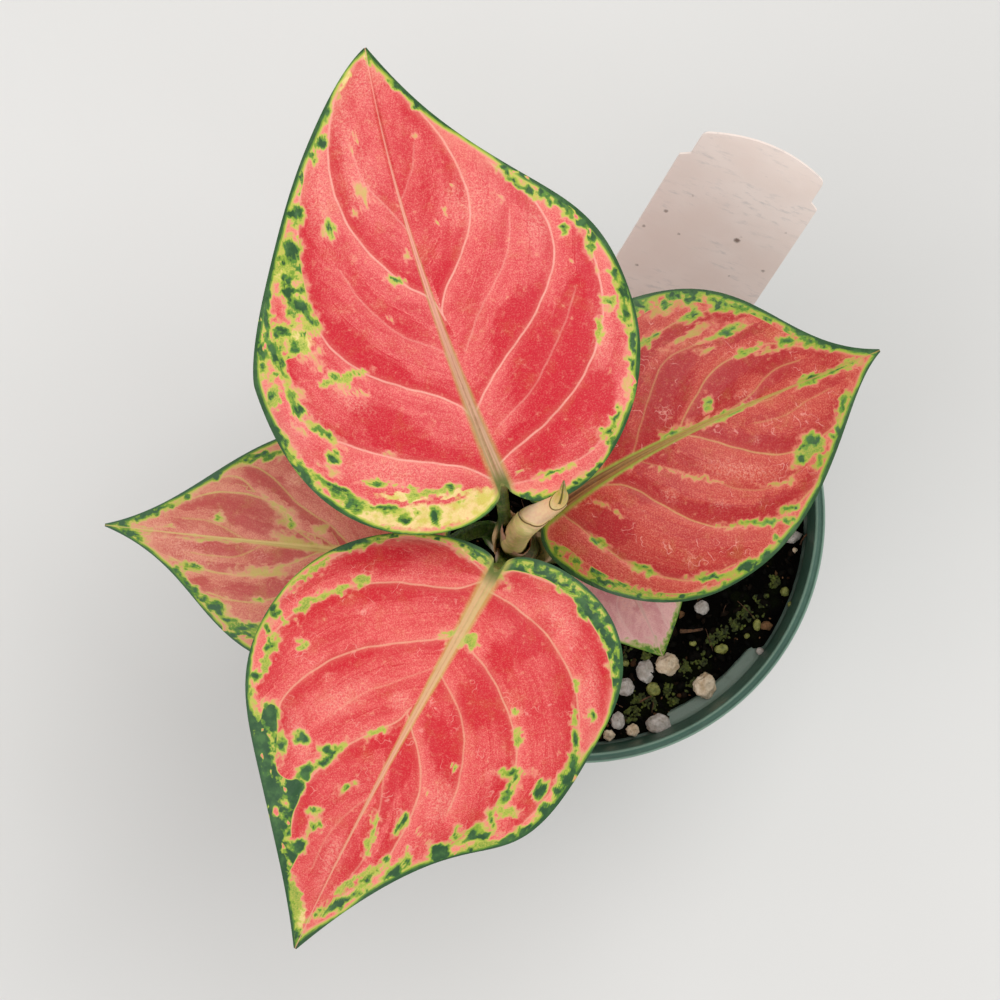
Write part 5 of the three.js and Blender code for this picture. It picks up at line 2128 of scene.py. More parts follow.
@dataclass
class Pot:
    """A thin moulded pot with a collar, a ledge inside it and slots round the foot."""

    height: float = 85.0
    segments: int = 192
    slots: int = 8
    slot_size: Point = (12.0, 9.0, 12.0)
    slot_radius: float = 34.0
    slot_corner: float = 1.2
    arc_steps: int = 5  # points of each rounding
    ledge: Pixel = (51.0, 72.9)  # outer radius and height of the inner ledge
    wall: float = 51.6  # radius inside which the plastic faces the soil
    highlight_radii: Pixel = (52.1, 53.8)  # radii of the two painted highlight lines along the rim's edges
    crease: float = 35.0  # degrees from which an edge looks sharp
    colours: tuple[Colour, Colour] = ((44, 80, 66), (58, 96, 80))
    scuffed: Colour = (112, 138, 124)
    shaded: Colour = (36, 54, 42)  # painted shade on the wall's inner face, partly soil stain
    rim_highlight: Colour = (134, 164, 146)  # painted highlight along the rim's edges
    dusty: Colour = (118, 136, 124)  # on the ledge
    muddy: Colour = (40, 34, 24)
    # [radius, height, rounding] from the axis under the floor round to the axis above it.
    profile: Sequence[Point] = (
        (0, 0.9, 0), (9, 0.9, 0.3), (9.6, 0.3, 0.2), (25, 0.3, 0.2), (25.6, 1.1, 0.2), (29.4, 1.1, 0.2),
        (30, 0, 0.3), (33, 0, 1.0), (36, 2.4, 1.4), (49.6, 70.4, 0.8), (52.8, 71.8, 0.6), (53.1, 82.6, 0.5),
        (54, 83.3, 0.35), (54, 84.6, 0.3), (53.6, 85, 0.25), (53.2, 84.8, 0.3), (52.7, 84.8, 0.3),
        (52.3, 85, 0.25), (51.8, 84.5, 0.4), (50.9, 73.5, 0.5), (50.4, 73, 0.3), (48.1, 72.7, 0.5),
        (34.4, 3, 1.4), (0, 3, 0),
    )

    def _rounded(self) -> list[Pixel]:
        """The profile with its corners turned into small arcs.

        Returns:
            [radius, height] pairs, from axis to axis.
        """
        line = []
        steps = np.linspace(0, 1, self.arc_steps)
        spots = [np.array(p[:2], float) for p in self.profile]
        for index, corner in enumerate(spots):
            radius = self.profile[index][2]
            if radius == 0:
                line.append(tuple(corner))
                continue
            back, on = spots[index - 1] - corner, spots[index + 1] - corner
            cut = min(radius, 0.45 * np.linalg.norm(back), 0.45 * np.linalg.norm(on))
            start = corner + back / np.linalg.norm(back) * cut
            end = corner + on / np.linalg.norm(on) * cut
            line += [tuple(p) for p in bezier([start, corner, end], steps)]
        return line

    def _cutter(self) -> bpy.types.Object:
        """Rounded bars that cut the slots.

        Returns:
            One object that holds them all.
        """
        shape = bmesh.new()
        sized = Matrix.Diagonal((*self.slot_size, 1))
        for i in range(self.slots):
            turn = Matrix.Rotation(TURN * (i + 0.5) / self.slots, 4, "Z")
            place = turn @ Matrix.Translation((self.slot_radius, 0, 0)) @ sized
            made = bmesh.ops.create_cube(shape, size=1.0, matrix=place)
            edges = dict.fromkeys(edge for vert in made["verts"] for edge in vert.link_edges)
            # A slot's corners are rounded where its walls meet.
            upright = [e for e in edges if abs(e.verts[0].co.z - e.verts[1].co.z) > 1]
            bmesh.ops.bevel(
                shape,
                geom=upright,
                offset=self.slot_corner,
                segments=4,
                affect="EDGES",
                profile=0.5,
                material=-1,
            )
        return into_scene("slots", as_mesh("slots", shape))

    def _plastic(self) -> bpy.types.Material:
        """Dull teal plastic, scuffed and dusty, with painted highlights along the rim's edges, and painted
        shade and soil stains on its inner wall.

        Returns:
            The material.
        """
        w = Wiring("pot")
        place = w.place()
        dust = w.noise(place, 0.09, 4, 0.6)
        scuffs = w.noise(w.place((0.05, 0.05, 1.4)), 1.0, 4, 0.6)
        fine = w.noise(place, 2.5, 2)
        base = w.mix(dust.edge(0.35, 0.7), *self.colours)
        base = w.mix(scuffs.edge(0.55, 0.75) * 0.35, base, self.scuffed)
        # Painted shade on the wall's inner face, partly soil stain.
        base = w.mix(w.attribute("inside") * 0.35, base, self.shaded)
        # Painted highlight lines along the rim's two edges.
        base = w.mix(w.attribute("edge") * (0.5 + dust * 0.5), base, self.rim_highlight)
        base = w.mix(w.attribute("ledge") * (0.5 + dust * 0.5), base, self.dusty)
        smears = w.noise(place, 0.35, 4, 0.7).edge(0.56, 0.72) * w.attribute("inside")
        base = w.mix(smears * 0.5, base, self.muddy)
        normal = w.bump(fine * 0.6 + scuffs * 0.7 + dust, 0.12)
        return w.finish(base, scuffs * 0.2 + 0.3, normal, Specular_IOR_Level=0.5)

    def _edge(self, vert: bmesh.types.BMVert) -> float:
        """Where the painted highlight lines run along the rim.

        Args:
            vert: a vertex of the pot.

        Returns:
            1 along the two edges of the rim, where the highlights are painted, 0 elsewhere.
        """
        radius = math.hypot(vert.co.x, vert.co.y)
        inner, outer = (math.exp(-(((radius - edge) / 0.25) ** 2)) for edge in self.highlight_radii)
        return (inner + outer) * (vert.co.z > self.height - 0.9)

    def _ledge(self, vert: bmesh.types.BMVert) -> float:
        """1 on the inner ledge, 0 elsewhere."""
        radius, height = self.ledge
        return float(abs(vert.co.z - height) < 0.9 and math.hypot(vert.co.x, vert.co.y) < radius)

    def _inside(self, vert: bmesh.types.BMVert) -> float:
        """1 on the wall's inner face, 0 elsewhere."""
        deep = smooth(self.wall - math.hypot(vert.co.x, vert.co.y), -0.4, 0.4)
        return float(deep * (vert.co.z > 3))

    def build(self, workshop: Workshop) -> None:
        """Builds and dresses the pot.

        Args:
            workshop: makes the pieces.
        """
        shell = into_scene("pot_shell", as_mesh("pot_shell", spun(self._rounded(), self.segments)))
        cutter = self._cutter()
        cut = shell.modifiers.new("slots", "BOOLEAN")
        cut.operation, cut.solver, cut.object = "DIFFERENCE", "EXACT", cutter
        graph = bpy.context.evaluated_depsgraph_get()
        finished = bpy.data.meshes.new_from_object(shell.evaluated_get(graph))
        bpy.data.objects.remove(shell)
        bpy.data.objects.remove(cutter)
        shape = bmesh.new()
        shape.from_mesh(finished)
        set_layer(shape, "edge", self._edge)
        set_layer(shape, "ledge", self._ledge)
        set_layer(shape, "inside", self._inside)
        made = workshop.piece("pot", shape, "pot", ["pot"], [self._plastic()])
        made.data.set_sharp_from_angle(angle=math.radians(self.crease))


# ---------------------------------------------------------------- soil


class Grain(Enum):
    """Kinds of grain that lie singly on the soil. The value names the piece."""

    PERLITE = "perlite"
    STONE = "stones"
    PRILL = "prills"


@dataclass(frozen=True)
class GrainFinish:
    """A grain's mottled skin, flecked with a darker stain."""

    low: Colour
    high: Colour
    stain: Colour
    roughness: float

    def material(self, name: str) -> bpy.types.Material:
        """Wires the finish.

        Args:
            name: the material's name.

        Returns:
            The material.
        """
        w = Wiring(name)
        place = w.place()
        mottle = w.noise(place, 0.55, 4, 0.65)
        pits = w.noise(place, 1.7, 3, 0.6)
        base = w.mix(mottle.edge(0.3, 0.7), self.low, self.high)
        base = w.mix(pits.edge(0.52, 0.7) * 0.5, base, self.stain)
        return w.finish(base, self.roughness, w.bump(pits + mottle, 0.4))


@dataclass(frozen=True)
class EarthFinish:
    """Damp dark earth with paler specks and a green tinge."""

    low: Colour = (2, 2, 1)
    high: Colour = (7, 5, 2)
    speck: Colour = (46, 32, 18)
    algae: Colour = (18, 24, 4)

    def material(self, name: str) -> bpy.types.Material:
        """Wires the finish.

        Args:
            name: the material's name.

        Returns:
            The material.
        """
        w = Wiring(name)
        place = w.place()
        clods = w.noise(place, 0.4, 4, 0.65)
        grit = w.noise(place, 2.6, 3, 0.7)
        base = w.mix(clods.edge(0.35, 0.7), self.low, self.high)
        base = w.mix(grit.edge(0.62, 0.74) * 0.5, base, self.speck)
        base = w.mix(w.noise(place, 0.16, 3).edge(0.5, 0.64) * 0.6, base, self.algae)
        normal = w.bump(grit * 1.6 + clods, 0.5)
        return w.finish(base, clods * 0.3 + 0.65, normal, Specular_IOR_Level=0.05)


@dataclass(frozen=True)
class CrumbFinish:
    """Crumbs from near black to tan, picked by each crumb's own tone."""

    tones: Sequence[tuple[float, Colour]] = (
        (0.0, (2, 2, 1)), (0.6, (8, 6, 2)), (0.86, (26, 17, 9)), (0.95, (74, 50, 30)), (1.0, (136, 102, 70)),
    )
    dirt: Colour = (12, 10, 4)

    def material(self, name: str) -> bpy.types.Material:
        """Wires the finish.

        Args:
            name: the material's name.

        Returns:
            The material.
        """
        w = Wiring(name)
        grit = w.noise(w.place(), 1.8, 3, 0.7)
        base = w.ramp(w.attribute("tone"), self.tones)
        base = w.mix(grit.edge(0.4, 0.7) * 0.5, base, self.dirt)
        return w.finish(base, 0.75, w.bump(grit, 0.3), Specular_IOR_Level=0.08)


@dataclass(frozen=True)
class GrainLook:
    """How one kind of grain looks and how it lies."""

    finish: GrainFinish
    strewn: int  # tries to lay one where leaves hide the soil
    rough: float  # depth of the dents of those seen in the picture, as a share of the size
    strewn_rough: float


BARK = GrainFinish((58, 38, 22), (112, 76, 46), (34, 22, 14), 0.8)
MOSS = GrainFinish((30, 40, 10), (92, 104, 30), (18, 24, 6), 0.85)
CREAM = GrainFinish((196, 172, 138), (232, 216, 190), (140, 118, 84), 0.85)
GREY = GrainFinish((158, 150, 138), (206, 200, 194), (128, 120, 96), 0.8)
OLIVE = GrainFinish((92, 100, 34), (152, 154, 78), (48, 48, 18), 0.5)
GRAINS = {
    Grain.PERLITE: GrainLook(CREAM, strewn=16, rough=0.34, strewn_rough=0.4),
    Grain.STONE: GrainLook(GREY, strewn=14, rough=0.2, strewn_rough=0.4),
    Grain.PRILL: GrainLook(OLIVE, strewn=12, rough=0.22, strewn_rough=0.1),
}


@dataclass
class SoilBed:
    """Dark potting soil: a lumpy bed that spills over the pot's ledge, and what lies on it."""

    top: float = 72.6  # mean height of the soil inside the ledge
    foot: float = 3.3  # height of the soil's flat foot
    foot_radius: float = 33.8
    edge: float = 47.8  # radius of the soil where the ledge is bare
    outer: float = 50.2  # radius of the soil where it covers the ledge
    ledge: float = 73.3  # height of the ledge under loose soil
    berm: float = 2.0  # how high the loose soil lies on the ledge
    relief: float = 0.55  # size of the broad lumps
    bare: Pixel = (-67.0, -37.0)  # bearings, in degrees, between which the ledge is bare
    rings: int = 120
    segments: int = 320
    walls: int = 5  # rows of the grid below the top
    crumbs: int = 2600  # number of crumbs
    fibres: int = 110  # tries to lay a fibre
    cushions: int = 22  # cushions of moss beside those that show
    seed: int = 11
    # Right of this column and below this row the picture shows the soil.
    shown: Pixel = (596, 540)
    # Column, row, length, width in the picture, and the kind.
    grains: Sequence[tuple[float, float, float, float, Grain]] = (
        (645.5, 670.7, 20, 26, Grain.STONE), (667, 664, 26, 23, Grain.PERLITE),
        (624.7, 687.5, 20, 20, Grain.STONE), (704.7, 685.5, 24, 26, Grain.PERLITE),
        (658.3, 724, 27, 22, Grain.STONE), (760, 651, 8, 8, Grain.STONE),
        (701.8, 607.5, 16, 15, Grain.STONE), (632.6, 730, 14, 13, Grain.PERLITE),
        (617.8, 721, 15, 20, Grain.STONE), (609, 735, 12, 12, Grain.PERLITE), (645, 741, 7, 6, Grain.STONE),
        (794.7, 550.2, 6, 6, Grain.PERLITE), (784.8, 591.7, 10, 10, Grain.PRILL),
        (790.7, 604.5, 7, 7, Grain.PRILL), (757, 625, 9, 13, Grain.PRILL),
        (721.5, 649, 17, 11, Grain.PRILL), (692.9, 643, 8, 7, Grain.PRILL), (747, 636, 6, 6, Grain.PRILL),
        (653.4, 689.5, 15, 15, Grain.PRILL), (625.7, 662.8, 8, 8, Grain.PRILL),
        (693, 718, 6, 5, Grain.STONE),
    )
    # Fibres that show: both ends in the picture, and the half width in millimetres.
    sticks: Sequence[tuple[Pixel, Pixel, float]] = (
        ((680, 631), (703, 629), 0.5), ((800, 545), (809, 533), 0.3), ((640, 702), (652, 696), 0.25),
    )
    # Cushions of moss that show: column, row and half width in the picture.
    tufts: Sequence[Point] = (
        (632.6, 713, 6.5), (634, 723, 5), (640, 700, 4), (652, 703, 4), (684, 668, 4), (700, 660, 5),
        (722, 634, 5), (735, 626, 5), (745, 612, 4), (762, 600, 4), (775, 582, 4), (668, 690, 4),
        (612, 748, 5), (676, 704, 4), (712, 640, 4), (646, 655, 3),
    )

    # ---------------------------------- form

    def _cover(self, angle: float) -> float:
        """1 where loose soil covers the ledge, 0 where the ledge shows.

        Args:
            angle: bearing from the axis, in radians.

        Returns:
            The cover.
        """
        middle = math.radians(sum(self.bare) / 2)
        spread = math.radians(self.bare[1] - self.bare[0]) / 2
        away = abs(math.atan2(math.sin(angle - middle), math.cos(angle - middle)))
        ragged = 0.09 * noise.noise((3 * math.cos(angle) * 3, 3 * math.sin(angle) * 3, 5))
        return float(smooth(away + ragged, spread * 0.85, spread * 1.15))

    def _lumps(self, x: float, y: float) -> float:
        """The bed's broad relief.

        Args:
            x: place in plan.
            y: place in plan.

        Returns:
            Millimetres above the mean.
        """
        broad = math.sin(0.31 * x + 0.17 * y) + math.sin(0.23 * y - 0.29 * x + 1.1)
        small = math.sin(0.83 * x + 0.4) * math.sin(0.77 * y + 2.0)
        return self.relief * (0.6 * broad + 0.8 * small)

    def surface(self, x: float, y: float) -> float:
        """Height of the soil at a place in plan.

        Args:
            x: place in plan.
            y: place in plan.

        Returns:
            The height.
        """
        radius = math.hypot(x, y)
        cover = self._cover(math.atan2(y, x))
        climb = float(smooth(radius, self.outer - 7, self.outer - 2.2)) * cover
        height = self.top + self._lumps(x, y) + climb * (self.ledge + self.berm - self.top - 0.4)
        clods = noise.turbulence((x * 0.3, y * 0.3, 2), 3, False, noise_basis="PERLIN_ORIGINAL")
        crumbly = noise.turbulence((x * 1.1, y * 1.1, 7), 2, False, noise_basis="PERLIN_ORIGINAL")
        return height + 0.75 * (clods - 0.75) + 0.5 * (crumbly - 0.5)

    def _bed(self) -> bmesh.types.BMesh:
        """The closed bed: its lumpy top, its wall inside the pot and its flat foot.

        Returns:
            The bed.
        """
        shape = bmesh.new()
        rows = self.rings + self.walls
        bmesh.ops.create_grid(shape, x_segments=self.segments, y_segments=rows, size=1.0)
        for vert in shape.verts:
            angle = math.pi * vert.co.x
            row = round((vert.co.y + 1) / 2 * rows)
            rim = blend(self.edge, self.outer, self._cover(angle))
            if row <= self.rings:
                radius = rim * row / self.rings
                x, y = radius * math.cos(angle), radius * math.sin(angle)
                vert.co = (x, y, self.surface(x, y))
                continue
            lip = self.surface(rim * math.cos(angle), rim * math.sin(angle))
            low = min(lip - 0.4, self.ledge + 0.02)
            radius, height = (
                (rim, low),
                (self.edge - 0.05, low - 0.02),
                (self.edge - 0.1, 71.4),
                (self.foot_radius, self.foot),
                (0.0, self.foot),
            )[row - self.rings - 1]
            vert.co = (radius * math.cos(angle), radius * math.sin(angle), height)
        bmesh.ops.remove_doubles(shape, verts=shape.verts, dist=WELD)
        bmesh.ops.recalc_face_normals(shape, faces=shape.faces)
        return shape

    # ---------------------------------- grains

    @staticmethod
    def _lump(
        shape: bmesh.types.BMesh, place: Vector, size: Point, detail: int, rough: float, seed: float
    ) -> None:
        """Adds one closed irregular grain.

        Args:
            shape: takes the grain.
            place: its middle.
            size: its half sizes.
            detail: subdivisions of its skin.
            rough: depth of its dents, as a share of its size.
            seed: picks its shape and its turn.
        """
        made = bmesh.ops.create_icosphere(shape, subdivisions=detail, radius=1.0)["verts"]
        turn = Matrix.Rotation(seed * 2.3, 3, "Z")
        for vert in made:
            skin = vert.co.copy()
            dent = noise.noise(skin * 1.1 + Vector((seed, 0, 3)))
            dent += 0.6 * noise.noise(skin * 2.6 + Vector((0, seed, 1)))
            if detail > 2:
                dent += 0.2 * noise.noise(skin * 5.5 + Vector((seed, seed, 0)))
            vert.co = skin * (1 + rough * dent)
            vert.co = place + turn @ Vector((vert.co.x * size[0], vert.co.y * size[1], vert.co.z * size[2]))

    def _scatter(self, draw: random.Random) -> Iterator[Pixel]:
        """Endless places in plan, evenly spread over the soil.

        Args:
            draw: gives the random numbers.

        Returns:
            The places, one at a time.
        """
        while True:
            angle = draw.uniform(-math.pi, math.pi)
            rim = blend(self.edge - 0.6, self.outer - 0.9, self._cover(angle))
            radius = rim * math.sqrt(draw.random())
            yield radius * math.cos(angle), radius * math.sin(angle)

    def _crumb_piece(self, draw: random.Random) -> bmesh.types.BMesh:
        """Crumbs of soil and bark, each a few dozen faces.

        Args:
            draw: gives the random numbers.

        Returns:
            The shape.
        """
        shape = bmesh.new()
        places = self._scatter(draw)
        tone = shape.verts.layers.float.new("tone")
        for _ in range(self.crumbs):
            x, y = next(places)
            half = 0.28 + 0.85 * draw.random() ** 3
            before = len(shape.verts)
            place = Vector((x, y, self.surface(x, y) + half * 0.3))
            size = tuple(half * draw.uniform(*span) for span in ((0.9, 1.5), (0.6, 1.0), (0.5, 0.9)))
            self._lump(shape, place, size, 1, 0.5, draw.uniform(0, 90))
            shape.verts.ensure_lookup_table()
            shade = draw.random()
            for vert in shape.verts[before:]:
                vert[tone] = shade
        return shape

    def _fibre_piece(self, draw: random.Random) -> bmesh.types.BMesh:
        """Peat fibres and splinters of bark.

        Args:
            draw: gives the random numbers.

        Returns:
            The shape.
        """
        whole = bpy.data.meshes.new("fibres")
        shape = bmesh.new()
        places = self._scatter(draw)
        for index in range(self.fibres):
            if index < len(self.sticks):
                start, end, half = self.sticks[index]
                a, b = VIEW.place(start, self.top + 1.6), VIEW.place(end, self.top + 1.8)
            else:
                x, y = next(places)
                heading, reach = draw.uniform(0, TURN), draw.uniform(2.0, 7.0)
                a = Vector((x, y, 0))
                b = a + Vector((math.cos(heading), math.sin(heading), 0)) * reach
                if math.hypot(b.x, b.y) > self.edge - 1:
                    continue
                a.z = self.surface(a.x, a.y) + 0.15
                b.z = self.surface(b.x, b.y) + draw.uniform(0.1, 1.4)
                half = draw.uniform(0.05, 0.16)
            sag = Vector((draw.uniform(-0.6, 0.6), draw.uniform(-0.6, 0.6), draw.uniform(0.1, 0.8)))
            line = bezier([a, (a + b) / 2 + sag, b], np.linspace(0, 1, 7))
            bar = swept(line, Vector((0, 0, 1)), 5, partial(narrowing, half))
            bar.to_mesh(whole)
            bar.free()
            shape.from_mesh(whole)
        bpy.data.meshes.remove(whole)
        return shape

    def _grain_piece(self, wanted: Grain, draw: random.Random) -> bmesh.types.BMesh:
        """The grains of one kind: those seen in the picture, and more where leaves hide the soil.

        Args:
            wanted: the kind.
            draw: gives the random numbers.

        Returns:
            The shape.
        """
        shape = bmesh.new()
        look = GRAINS[wanted]
        for column, row, length, width, kind in self.grains:
            if kind is not wanted:
                continue
            ground = VIEW.place((column, row), self.top)
            scale = VIEW.pixel_size(self.top) / 2
            half = (length * scale * 0.92, width * scale * 0.92, min(length, width) * scale * 0.75)
            place = VIEW.place((column, row), self.surface(ground.x, ground.y) + half[2] * 0.45)
            detail = 4 if min(half) > 1 else 3
            # Only a grain whose two sizes are equal may be turned.
            self._lump(shape, place, half, detail, look.rough, 0.0 if length != width else column)
        places = self._scatter(draw)
        for _ in range(look.strewn):
            x, y = next(places)
            column, row = VIEW.pixels_of(np.array([[x, y, self.top]]))[0]
            if column > self.shown[0] and row > self.shown[1]:
                continue
            half = draw.uniform(0.5, 1.7)
            place = Vector((x, y, self.surface(x, y) + half * 0.3))
            size = (half * 1.2, half, half * 0.8)
            self._lump(shape, place, size, 2, look.strewn_rough, draw.uniform(0, 90))
        return shape

    def _moss_piece(self, draw: random.Random) -> bmesh.types.BMesh:
        """Cushions of moss: small leafy grains that lie close together.

        Args:
            draw: gives the random numbers.

        Returns:
            The shape.
        """
        shape = bmesh.new()
        # Each tuft's size counts 0.22 mm to the pixel, and is spread a little wider than it shows.
        spots = [(*VIEW.place((c, r), self.top)[:2], size * 0.22 * 1.6, 46) for c, r, size in self.tufts]
        places = self._scatter(draw)
        spots += [(*next(places), draw.uniform(1.0, 2.4), 22) for _ in range(self.cushions)]
        for x0, y0, spread, count in spots:
            for _ in range(count):
                x, y = x0 + draw.gauss(0, spread * 0.5), y0 + draw.gauss(0, spread * 0.5)
                if math.hypot(x, y) > self.edge - 0.8:
                    continue
                half = draw.uniform(0.2, 0.5)
                place = Vector((x, y, self.surface(x, y) + half * draw.uniform(0.2, 0.9)))
                size = (half * 1.3, half * 0.9, half * 0.9)
                self._lump(shape, place, size, 1, 0.6, draw.uniform(0, 90))
        return shape

    # ---------------------------------- pieces

    def build(self, workshop: Workshop) -> None:
        """Builds the bed and everything that lies on it.

        Args:
            workshop: makes the pieces.
        """
        draw = random.Random(self.seed)

        def lay(name: str, shape: bmesh.types.BMesh, material: bpy.types.Material) -> None:
            """Makes a piece that stands for the soil."""
            workshop.piece(name, shape, "soil", ["soil"], [material])

        lay("soil_bed", self._bed(), EarthFinish().material("soil"))
        lay("soil_crumbs", self._crumb_piece(draw), CrumbFinish().material("crumbs"))
        lay("soil_fibres", self._fibre_piece(draw), BARK.material("fibre"))
        for kind in Grain:
            finish = GRAINS[kind].finish
            lay(kind.value, self._grain_piece(kind, draw), finish.material(kind.value))
        lay("moss", self._moss_piece(draw), MOSS.material("moss"))


# ---------------------------------------------------------------- label


@dataclass
class Label:
    """The blank plastic label that stands in the soil and leans on the rim."""

    width: float = 31.75
    length: float = 127.0
    thickness: float = 0.6
    head_length: float = 11.5  # from the shoulders to the top
    head_inset: float = 2.0  # how much narrower the head is on each side
    head_side: float = 6.3  # height of the head's straight sides
    head_corner: Pixel = (1.2, 2.2)  # width and height of the head's rounded corners
    stake_length: float = 22.0  # of the pointed foot
    heading: float = 57.9  # degrees in plan that the label leans towards
    lean: float = 46.3  # degrees above the level
    tilt: float = -14.8  # degrees that it is turned about its own length
    shoulder: Point = (34.8, 70.2, 119.8)  # middle of its shoulder line, in the model
    crease: float = 40.0  # degrees from which an edge looks sharp
    rim: float = 0.1  # rounding of the sheet's rims
    soiled: Pixel = (-62.0, -108.0)  # heights on the label between which grime thickens
    card: tuple[Colour, Colour] = ((234, 217, 207), (240, 226, 217))
    smudged: Colour = (178, 174, 172)
    grimy: Colour = (184, 168, 150)
    speck: Colour = (96, 70, 52)
    # Specks of dirt: column, row and diameter in the picture.
    specks: Sequence[Point] = (
        (737, 239.5, 6), (741, 236, 3), (666, 210, 4.5), (644, 225, 4), (679, 233, 3.6), (637, 264, 3.8),
        (763, 270, 4), (693, 195, 3), (738, 206, 2.6), (786, 232, 3), (729, 275, 3), (767, 176, 2.6),
    )

    def _frame(self) -> Matrix:
        """Across the label, up along it and out of its face, at its shoulder line.

        Returns:
            The frame as a matrix.
        """
        heading, lean = math.radians(self.heading), math.radians(self.lean)
        up = Vector((math.cos(lean) * math.cos(heading), math.cos(lean) * math.sin(heading), math.sin(lean)))
        across = Vector((math.sin(heading), -math.cos(heading), 0))
        across.rotate(Matrix.Rotation(math.radians(-self.tilt), 3, up))
        face = across.cross(up)
        return Matrix.Translation(self.shoulder) @ Matrix((across, up, face)).transposed().to_4x4()

    def _outline(self) -> list[Pixel]:
        """The label's outline, anticlockwise from the pointed foot.

        Returns:
            Its corners.
        """
        half = self.width / 2
        side = half - self.head_inset
        x, y = side - self.head_corner[0], self.head_side + self.head_corner[1]
        foot = self.head_length - self.length
        right = [(2.5, foot), (half, foot + self.stake_length)]
        right += [(half, 0), (side, 1.4), (side, self.head_side)]
        steps = np.linspace(0, 1, 7)[1:]
        right += [tuple(p) for p in bezier([(side, self.head_side), (side, y - 0.5), (x, y)], steps)]
        crown = bezier([(x, y), (0, 2 * self.head_length - y), (-x, y)], np.linspace(0, 1, 41)[1:-1])
        return right + [tuple(p) for p in crown] + [(-a, b) for a, b in reversed(right)]

    def _card(self, place: Matrix) -> bpy.types.Material:
        """Matt off-white plastic with faint smudges, grime and a few specks.

        Args:
            place: the label's frame.

        Returns:
            The material.
        """
        w = Wiring("label")
        smudge = w.noise(w.along("sheet", (0.22, 0.7, 1)), 1.0, 4, 0.65)
        broad = w.noise(w.along("sheet", (0.06, 0.09, 1)), 1.0, 3)
        fine = w.noise(w.place(), 3.0, 2)
        base = w.mix(broad.edge(0.3, 0.7), *self.card)
        base = w.mix(smudge.edge(0.5, 0.72) * broad.edge(0.4, 0.6) * 0.5, base, self.smudged)
        low = w.attribute("low").edge(0.2, 0.9)
        base = w.mix(low * (0.05 + broad * 0.2), base, self.grimy)
        spot = w.node("ShaderNodeTexCoord", {}, {}).outputs["Object"]
        dots: Shade | None = None
        eye = Vector((VIEW.x, VIEW.y, VIEW.height))
        face, middle = place.to_3x3().col[2], place.translation
        for column, row, size in self.specks:
            ray = VIEW.place((column, row), 100) - eye
            hit = eye + ray * ((middle - eye).dot(face) / ray.dot(face))
            ends = {0: spot, 1: tuple(hit * METRES)}
            gap = w.value("ShaderNodeVectorMath", {"operation": "DISTANCE"}, ends, "Value")
            dot = (gap * (1 / METRES) + (fine - 0.5) * 0.5).edge(size * 0.16, size * 0.07)
            dot = dot * min(1.0, size / 6)
            dots = dot if dots is None else dots.most(dot)
        base = w.mix(dots * 0.85, base, self.speck)
        return w.finish(base, smudge * 0.2 + 0.38, w.bump(smudge + fine * 0.3, 0.05))

    def build(self, workshop: Workshop) -> None:
        """Builds and dresses the label.

        Args:
            workshop: makes the pieces.
        """
        shape = bmesh.new()
        corners = [shape.verts.new((x, y, -self.thickness / 2)) for x, y in self._outline()]
        shape.faces.new(corners)
        grown = bmesh.ops.extrude_face_region(shape, geom=shape.faces[:])["geom"]
        top = [v for v in grown if isinstance(v, bmesh.types.BMVert)]
        bmesh.ops.translate(shape, verts=top, vec=(0, 0, self.thickness))
        bmesh.ops.recalc_face_normals(shape, faces=shape.faces)
        rims = [e for e in shape.edges if abs(e.verts[0].co.z - e.verts[1].co.z) < 1e-6]
        bmesh.ops.bevel(
            shape, geom=rims, offset=self.rim, segments=2, affect="EDGES", profile=0.5, material=-1
        )
        sheet = shape.loops.layers.uv.new("sheet")
        for loop in (loop for face in shape.faces for loop in face.loops):
            loop[sheet].uv = loop.vert.co.xy
        low = shape.verts.layers.float.new("low")
        for vert in shape.verts:
            vert[low] = float(smooth(vert.co.y, *self.soiled))
        place = self._frame()
        bmesh.ops.transform(shape, matrix=place, verts=shape.verts)
        made = workshop.piece("label", shape, "label", ["label"], [self._card(place)])
        made.data.set_sharp_from_angle(angle=math.radians(self.crease))


# ---------------------------------------------------------------- studio


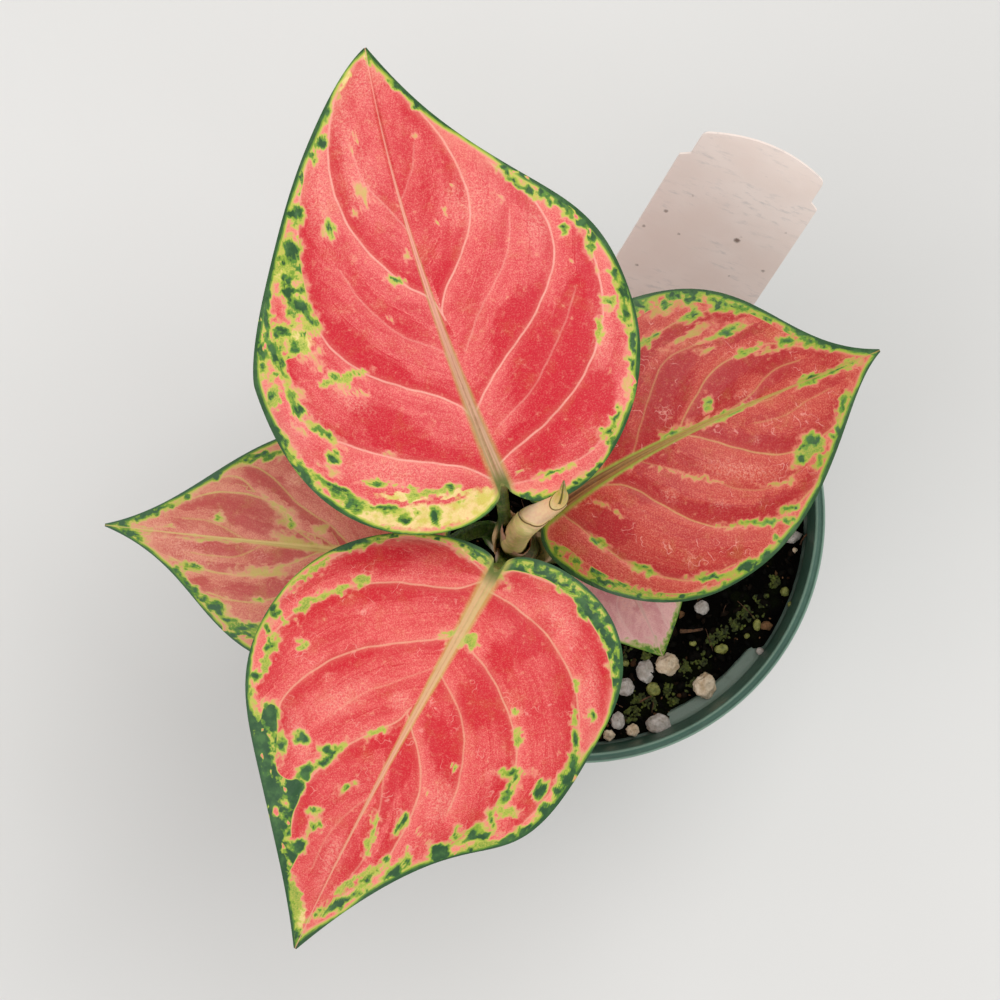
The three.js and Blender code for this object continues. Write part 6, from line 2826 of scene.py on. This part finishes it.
@dataclass(frozen=True)
class Lamp:
    """A square lamp that faces the plant. Its place and size are in metres, its power in watts."""

    name: str
    place: Point
    size: float
    power: float
    aim: Point = (0, 0, 0.1)

    def build(self) -> None:
        """Adds the lamp."""
        data = bpy.data.lights.new(self.name, "AREA")
        data.size = self.size
        data.energy = self.power
        lamp = into_scene(self.name, data)
        lamp.location = self.place
        lamp.rotation_mode = "QUATERNION"
        lamp.rotation_quaternion = (Vector(self.aim) - Vector(self.place)).to_track_quat("-Z", "Y")


@dataclass(frozen=True)
class Studio:
    """A pale floor and soft light from above."""

    floor_half: float = 1.6  # metres
    floor_gap: float = 0.0005
    floor_colours: tuple[Colour, Colour] = ((214, 213, 210), (222, 221, 219))
    floor_roughness: float = 0.8
    sky: float = 0.72
    lamps: Sequence[Lamp] = (
        Lamp("key_light", (0.45, 0.55, 1.25), size=0.9, power=8.5),
        Lamp("fill_light", (-0.9, -0.5, 0.9), size=1.0, power=5.0),
    )

    def build(self) -> None:
        """Adds the floor, the lights and the sky."""
        shape = bmesh.new()
        below = Matrix.Translation((0, 0, -self.floor_gap))
        bmesh.ops.create_grid(shape, x_segments=2, y_segments=2, size=self.floor_half, matrix=below)
        mesh = as_mesh("floor", shape)
        w = Wiring("floor")
        tint = w.noise(w.place(), 0.01, 2)
        mesh.materials.append(w.finish(w.mix(tint, *self.floor_colours), self.floor_roughness))
        into_scene("floor", mesh)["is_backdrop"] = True
        for lamp in self.lamps:
            lamp.build()
        world = bpy.data.worlds.new("sky")
        world.use_nodes = True
        background = world.node_tree.nodes["Background"].inputs
        background["Strength"].default_value = self.sky
        background["Color"].default_value = (1, 1, 1, 1)
        bpy.context.scene.world = world
        bpy.context.scene.view_settings.view_transform = "Standard"


def main() -> None:
    """Builds the plant and its pot, piece by piece."""
    logging.basicConfig(level=logging.INFO, format="%(message)s")
    model_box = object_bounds()
    VIEW.make_camera()
    Studio().build()
    workshop = Workshop()
    Pot().build(workshop)
    SoilBed().build(workshop)
    Cane().build(workshop)
    for stalk in STALKS:
        stalk.build(workshop)
    CrownSheath().build(workshop)
    for blade in BLADES:
        blade.build(workshop)
    RolledLeaf().build(workshop)
    Label().build(workshop)
    LOG.info("%d pieces", len(workshop.made))
    boxes = {"model": model_box, "visual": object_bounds()}
    {name: [list(corner) for corner in box] for name, box in boxes.items()}


if __name__ == "__main__":
    main()
